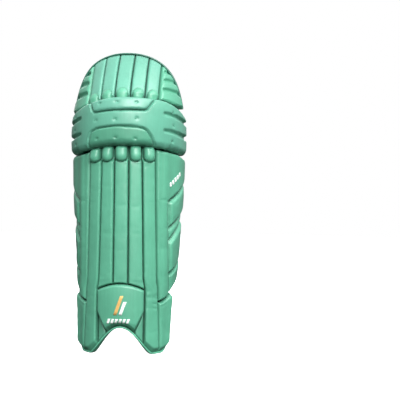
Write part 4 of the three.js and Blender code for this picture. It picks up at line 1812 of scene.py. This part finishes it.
@dataclass
class TopHat(SubAssembly):
    """Curved thigh guard over the knee: five canes, ribbed sides and a bound rim."""

    wardrobe: Wardrobe
    lines: tuple[float, ...] = (-70, -44.5, -15.7, 15.7, 44.5, 70)
    span: float = 77.0
    bottom: float = HAT_BOTTOM
    ribs: dict[str, tuple[float, ...]] = field(default_factory=lambda: {"left": (579, 597, 615),
        "right": (578, 598, 617)})
    parts: list[Part] = field(default_factory=list)

    def foot(self, t: Array) -> Array:
        """Lower edge."""
        return self.bottom + 0.6 + 4.8 * ramp(np.abs(t), 54.0, 77.0)

    def cane_rise(self, t: Array, v: Array) -> Array:
        """Height of a cane: low where it tucks under the knee's fingers."""
        return lerp(5.2, 13.4, ramp(v, 551, 560))

    def make(self) -> None:
        """List the board, canes and ribbed sides."""
        w = self.wardrobe

        def board_place(s: Array, q: Array) -> tuple[Array, Array]:
            """Angle and level of the board."""
            t = lerp(-self.span, self.span, s)
            return t, lerp(self.foot(t), SKIN.rim(t) - 4.4, q)

        self.parts.append(board("top_board", board_place, 60, 26, "top_hat", w.backing()))
        for i in range(5):

            def place(s: Array, q: Array, i: int = i) -> tuple[Array, Array]:
                """Angle and level at shares s, q."""
                x = lerp(self.lines[i] + 0.7, self.lines[i + 1] - 0.7, s)
                v = lerp(self.bottom, SKIN.rim(SKIN.angle_at(x, 610.0)) - 4.6, q)
                return SKIN.angle_at(x, v), v

            cane = Cushion(f"top_cane_{i + 1}_cover", [Patch(spread(14, 0.75), spread(36), place)],
                           const(CLEAR),
                           self.cane_rise, lambda t, v: SEAM_DIP * self.cane_rise(t, v), radius=3.8,
                           cap=0.8, give=0.35, dark_width=2.2)
            # painted sheen: the hat canes take the paler copy of the cover leather
            self.parts.append(Part(cane, w.top(), Slot.TOP, (f"top_cane_{i + 1}",), "top_hat"))
        for side in Side:

            def side_place(s: Array, q: Array, k: int = side.value) -> tuple[Array, Array]:
                """Angle and level at shares s, q."""
                t = lerp(SKIN.angle_at(70.7, 600.0), self.span, s)
                v = lerp(self.foot(t) + 0.5, SKIN.rim(t) - 4.6, q)
                return k * lerp(SKIN.angle_at(70.7, v), self.span, s), v

            def ribbing(t: Array, v: Array, tag: str = side.tag) -> Array:
                """Recessed lanes between the ribs."""
                depth = np.zeros(np.shape(t))
                for level in self.ribs[tag]:
                    dv = v - level - 0.2 * (np.abs(t) - 48.0)
                    depth -= 7.0 * (1.0 - ramp(np.abs(dv - 0.5), 1.2, 4.6)) * ramp(np.abs(t), 39.0, 44.0)
                return depth

            cushion = Cushion(f"top_side_{side.tag}_cover",
                              [Patch(spread(26, 0.3), spread(44, 0.2), side_place)], const(CLEAR),
                              const(15.5),
                              const(6.5), radius=6.0, detail=ribbing, cap=1.2)
            self.parts.append(Part(cushion, w.leather(), Slot.COVER, (f"top_side_{side.tag}",),
                                   "top_hat"))

    def bind(self) -> None:
        """Dark bound rim that turns down both sides."""
        t = np.linspace(-self.span, self.span, 120)
        arc = np.stack([t, SKIN.rim(t) - 1.8], -1)
        drop = np.linspace(arc[-1, 1], 559.0, 16)[1:]
        down = np.stack([np.full(15, self.span + 0.8), drop], -1)
        line = np.concatenate([down[::-1] * (-1, 1), arc, down])
        line = smooth_line(line, 3)
        piece = Band("top_binding_cover", line, 2.1, -BOARD - 1.5,
                     13.6).build(self.wardrobe.get(self.wardrobe.rim()))
        settle(piece, ("top_binding",), "top_hat")

    def sew(self, sewing: Sewing) -> None:
        """Stitches under the rim."""
        feeler = Feeler(self.made("top_cane", "top_side"))
        for i in range(5):
            x = np.linspace(self.lines[i] + 4.0, self.lines[i + 1] - 4.0, 30)
            t = SKIN.angle_at(x, 620.0)
            sewing.run("top_hat", feeler.touch(t, SKIN.rim(t) - 8.5, SUNK_STITCH))


@dataclass
class Straps:
    """Three straps that leave the wing of one side and close on the other."""

    wardrobe: Wardrobe
    rows: tuple[tuple[str, float, float], ...] = (("knee", 398, 27), ("calf", 296, 24),
                                                  ("ankle", 200, 20))
    rear: float = 105.0
    bulge: float = 44.0
    thick: float = 3.0
    free_end: float = 163.0

    def bow(self, phi: Array, z: float, h: Array | float) -> Array:
        """Point of the strap's bow behind the wings, phi from the fixed end.

        Args:
            phi: turn round the bow, degrees.
            z: level, mm.
            h: height over the bow, mm.

        Returns:
            Points in metres.
        """
        start = SKIN.point(self.rear, z, -BOARD - 1.3) / MM
        turn = np.radians(phi)
        return np.stack([(start[0] + h) * np.cos(turn), start[1] + (self.bulge + h) * np.sin(turn),
                         z + 0 * turn], -1) * MM

    def ribbon(self, name: str, low: Array, top: Array, half: float,
               material: bpy.types.Material) -> bpy.types.Object:
        """Flat band between two lines of points.

        Args:
            name: piece name.
            low: (K, 3) points of the inner face.
            top: (K, 3) points of the outer face.
            half: half width, mm.
            material: its finish.

        Returns:
            The object.
        """
        loop = np.array([(-1, 0.3), (-0.96, 0), (-0.5, 0), (0, 0), (0.5, 0), (0.96, 0), (1, 0.3),
                         (1, 0.7), (0.96, 1), (0.5, 1), (0, 1), (-0.5, 1), (-0.96, 1), (-1, 0.7)])
        rings = low[:, None] + (top - low)[:, None] * loop[None, :, 1:2]
        rings = rings + np.array([0, 0, 1.0]) * (loop[None, :, 0:1] * half * MM)
        run = np.concatenate([[0], np.cumsum(np.linalg.norm(np.diff(top, axis=0), axis=1))])
        lay = np.zeros_like(rings)
        lay[..., 0], lay[..., 1] = run[:, None], loop[None, :, 0] * half * MM
        return sweep(name, rings, lay, material)

    def build(self, sewing: Sewing) -> None:
        """Make the anchors, landings, straps and hook patches."""
        web, hook = self.wardrobe.get(self.wardrobe.webbing()), self.wardrobe.get(self.wardrobe.hook())
        inner = -BOARD - 1.3
        for name, z, half in self.rows:
            t = np.linspace(54.0, self.rear - 0.8, 40)
            low, top = SKIN.point(t, np.full(40, z), inner - self.thick), SKIN.point(t, np.full(40, z),
                inner)
            settle(self.ribbon(f"strap_anchor_{name}_web", low, top, half, web),
                   (f"strap_anchor_{name}",), "shin")
            t = -np.linspace(54.0, self.rear, 40)
            phi = np.linspace(171.0, 120.0, 24)
            low = np.concatenate([SKIN.point(t, np.full(40, z), inner - self.thick),
                                  self.bow(phi, z, -self.thick)])
            top = np.concatenate([SKIN.point(t, np.full(40, z), inner), self.bow(phi, z, 0.0)])
            settle(self.ribbon(f"strap_landing_{name}_web", low, top, half, web),
                   (f"strap_landing_{name}",), "shin")
            phi = np.linspace(3.0, self.free_end, 90)
            lift = lerp(-self.thick, 2.2, np.clip((phi - 20.0) / 60.0, 0.0, 1.0))
            outer = self.bow(phi, z, lift + self.thick)
            settle(self.ribbon(f"strap_{name}_web", self.bow(phi, z, lift), outer, half, web),
                   (f"strap_{name}",), f"strap_{name}")
            for row in (-1.0, 1.0):
                run = outer[2:-2] + np.array([0, 0, row * (half - 3.0) * MM])
                out = (outer - self.bow(phi, z, lift))[2:-2]
                sewing.run(f"strap_{name}",
                           run + out / np.linalg.norm(out, axis=1, keepdims=True) * 0.0001)
            phi = np.linspace(120.0, 161.0, 30)
            settle(self.ribbon(f"hook_patch_{name}_tape", self.bow(phi, z, 0.4), self.bow(phi, z, 1.6),
                               half * 0.84, hook),
                   (f"hook_patch_{name}",), f"strap_{name}")


@dataclass
class Studio:
    """White floor, soft light and the camera."""

    camera_at: tuple[float, float, float] = (0.2565, -1.747, 0.343)
    look: tuple[float, float, float] = (-0.0506, 0.999, 0.0)
    roll: float = 0.8
    lens: float = 69.4

    def build(self) -> None:
        """Set up the whole studio."""
        scene = bpy.context.scene
        scene.view_settings.view_transform = "Standard"
        world = bpy.data.worlds.new("studio")
        scene.world = world
        world.use_nodes = True
        nodes, links = world.node_tree.nodes, world.node_tree.links
        back = nodes["Background"]
        path, white = nodes.new("ShaderNodeLightPath"), nodes.new("ShaderNodeBackground")
        white.inputs["Color"].default_value = (1, 1, 1, 1)
        white.inputs["Strength"].default_value = 1.0
        place, split = nodes.new("ShaderNodeTexCoord"), nodes.new("ShaderNodeSeparateXYZ")
        ramp_node = nodes.new("ShaderNodeValToRGB")
        stops = ramp_node.color_ramp.elements
        stops[0].position, stops[0].color = 0.42, (0.07, 0.11, 0.09, 1)
        stops[1].position, stops[1].color = 0.85, (0.95, 0.98, 1.0, 1)
        span = nodes.new("ShaderNodeMapRange")
        span.inputs["From Min"].default_value = -1.0
        links.new(place.outputs["Generated"], split.inputs["Vector"])
        links.new(split.outputs["Z"], span.inputs["Value"])
        links.new(span.outputs["Result"], ramp_node.inputs["Fac"])
        links.new(ramp_node.outputs["Color"], back.inputs["Color"])
        back.inputs["Strength"].default_value = 0.75
        mix = nodes.new("ShaderNodeMixShader")
        links.new(path.outputs["Is Camera Ray"], mix.inputs["Fac"])
        links.new(back.outputs["Background"], mix.inputs[1])
        links.new(white.outputs["Background"], mix.inputs[2])
        links.new(mix.outputs["Shader"], nodes["World Output"].inputs["Surface"])
        self.floor()
        self.light("key", (0.55, -2.2, 1.4), 1.1, 70.0)
        self.light("top", (0.95, -0.85, 2.0), 1.5, 36.0)
        self.light("rear", (-0.3, 1.7, 1.3), 1.4, 20.0)
        camera = bpy.data.cameras.new("camera")
        camera.lens, camera.sensor_width = self.lens, 36.0
        holder = bpy.data.objects.new("camera", camera)
        scene.collection.objects.link(holder)
        holder.location = self.camera_at
        holder.rotation_euler = Vector(self.look).to_track_quat("-Z", "Y").to_euler()
        holder.rotation_euler.rotate_axis("Z", np.radians(self.roll))
        scene.camera = holder

    def floor(self) -> None:
        """Round white floor."""
        turn = np.linspace(0, 2 * np.pi, 96, endpoint=False)
        rings = [np.stack([r * np.cos(turn), r * np.sin(turn), 0 * turn - 0.0002], -1) for r in (3.0,
            6.0)]
        points = np.concatenate(rings)
        k = np.arange(96)
        faces = [k.tolist()] + np.stack([k, k + 96, (k + 1) % 96 + 96, (k + 1) % 96], -1).tolist()
        b = NodeBench("floor_white")
        b.join(b.mix(b.noise(3.0, 2.0), (0.93, 0.93, 0.93), (0.96, 0.96, 0.96)),
               b.shader.inputs["Base Color"])
        b.shader.inputs["Roughness"].default_value = 0.9
        b.shader.inputs["Emission Color"].default_value = (1, 1, 1, 1)
        b.shader.inputs["Emission Strength"].default_value = 0.92
        piece = make_piece("floor", points, faces, {}, b.material)
        piece.visible_diffuse = piece.visible_glossy = False

    def light(self, name: str, at: Sequence[float], size: float, power: float) -> None:
        """Square soft light aimed at the middle of the pad.

        Args:
            name: its name.
            at: its place, metres.
            size: its side, metres.
            power: watts.
        """
        data = bpy.data.lights.new(name, "AREA")
        data.size, data.energy = size, power
        lamp = bpy.data.objects.new(name, data)
        bpy.context.scene.collection.objects.link(lamp)
        lamp.location = at
        lamp.rotation_euler = (Vector((0, 0, 0.38)) - Vector(at)).to_track_quat("-Z", "Y").to_euler()


def main() -> None:
    """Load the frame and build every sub-assembly in order."""
    logging.basicConfig(level=logging.INFO, format="%(name)s: %(message)s")
    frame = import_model()
    LOG.info("frame has %d nodes", len(frame["nodes"]))
    wardrobe = Wardrobe()
    Studio().build()
    shin, knee, hat = Shin(wardrobe), Knee(wardrobe), TopHat(wardrobe)
    wings = [Wing(wardrobe, side) for side in Side]
    groups: list[SubAssembly] = [shin, *wings, knee, hat]
    for group in groups:
        group.make()
    cushions = [p.cushion for group in groups for p in group.parts]
    for cushion in cushions:
        cushion.shape()
    Filling().swell([c for c in cushions if c.give > 0])
    sewing = Sewing()
    for group in groups:
        group.dress()
        group.bind()
        group.sew(sewing)
    shin.mark()
    Straps(wardrobe).build(sewing)
    sewing.build(wardrobe)


if __name__ == "__main__":
    main()
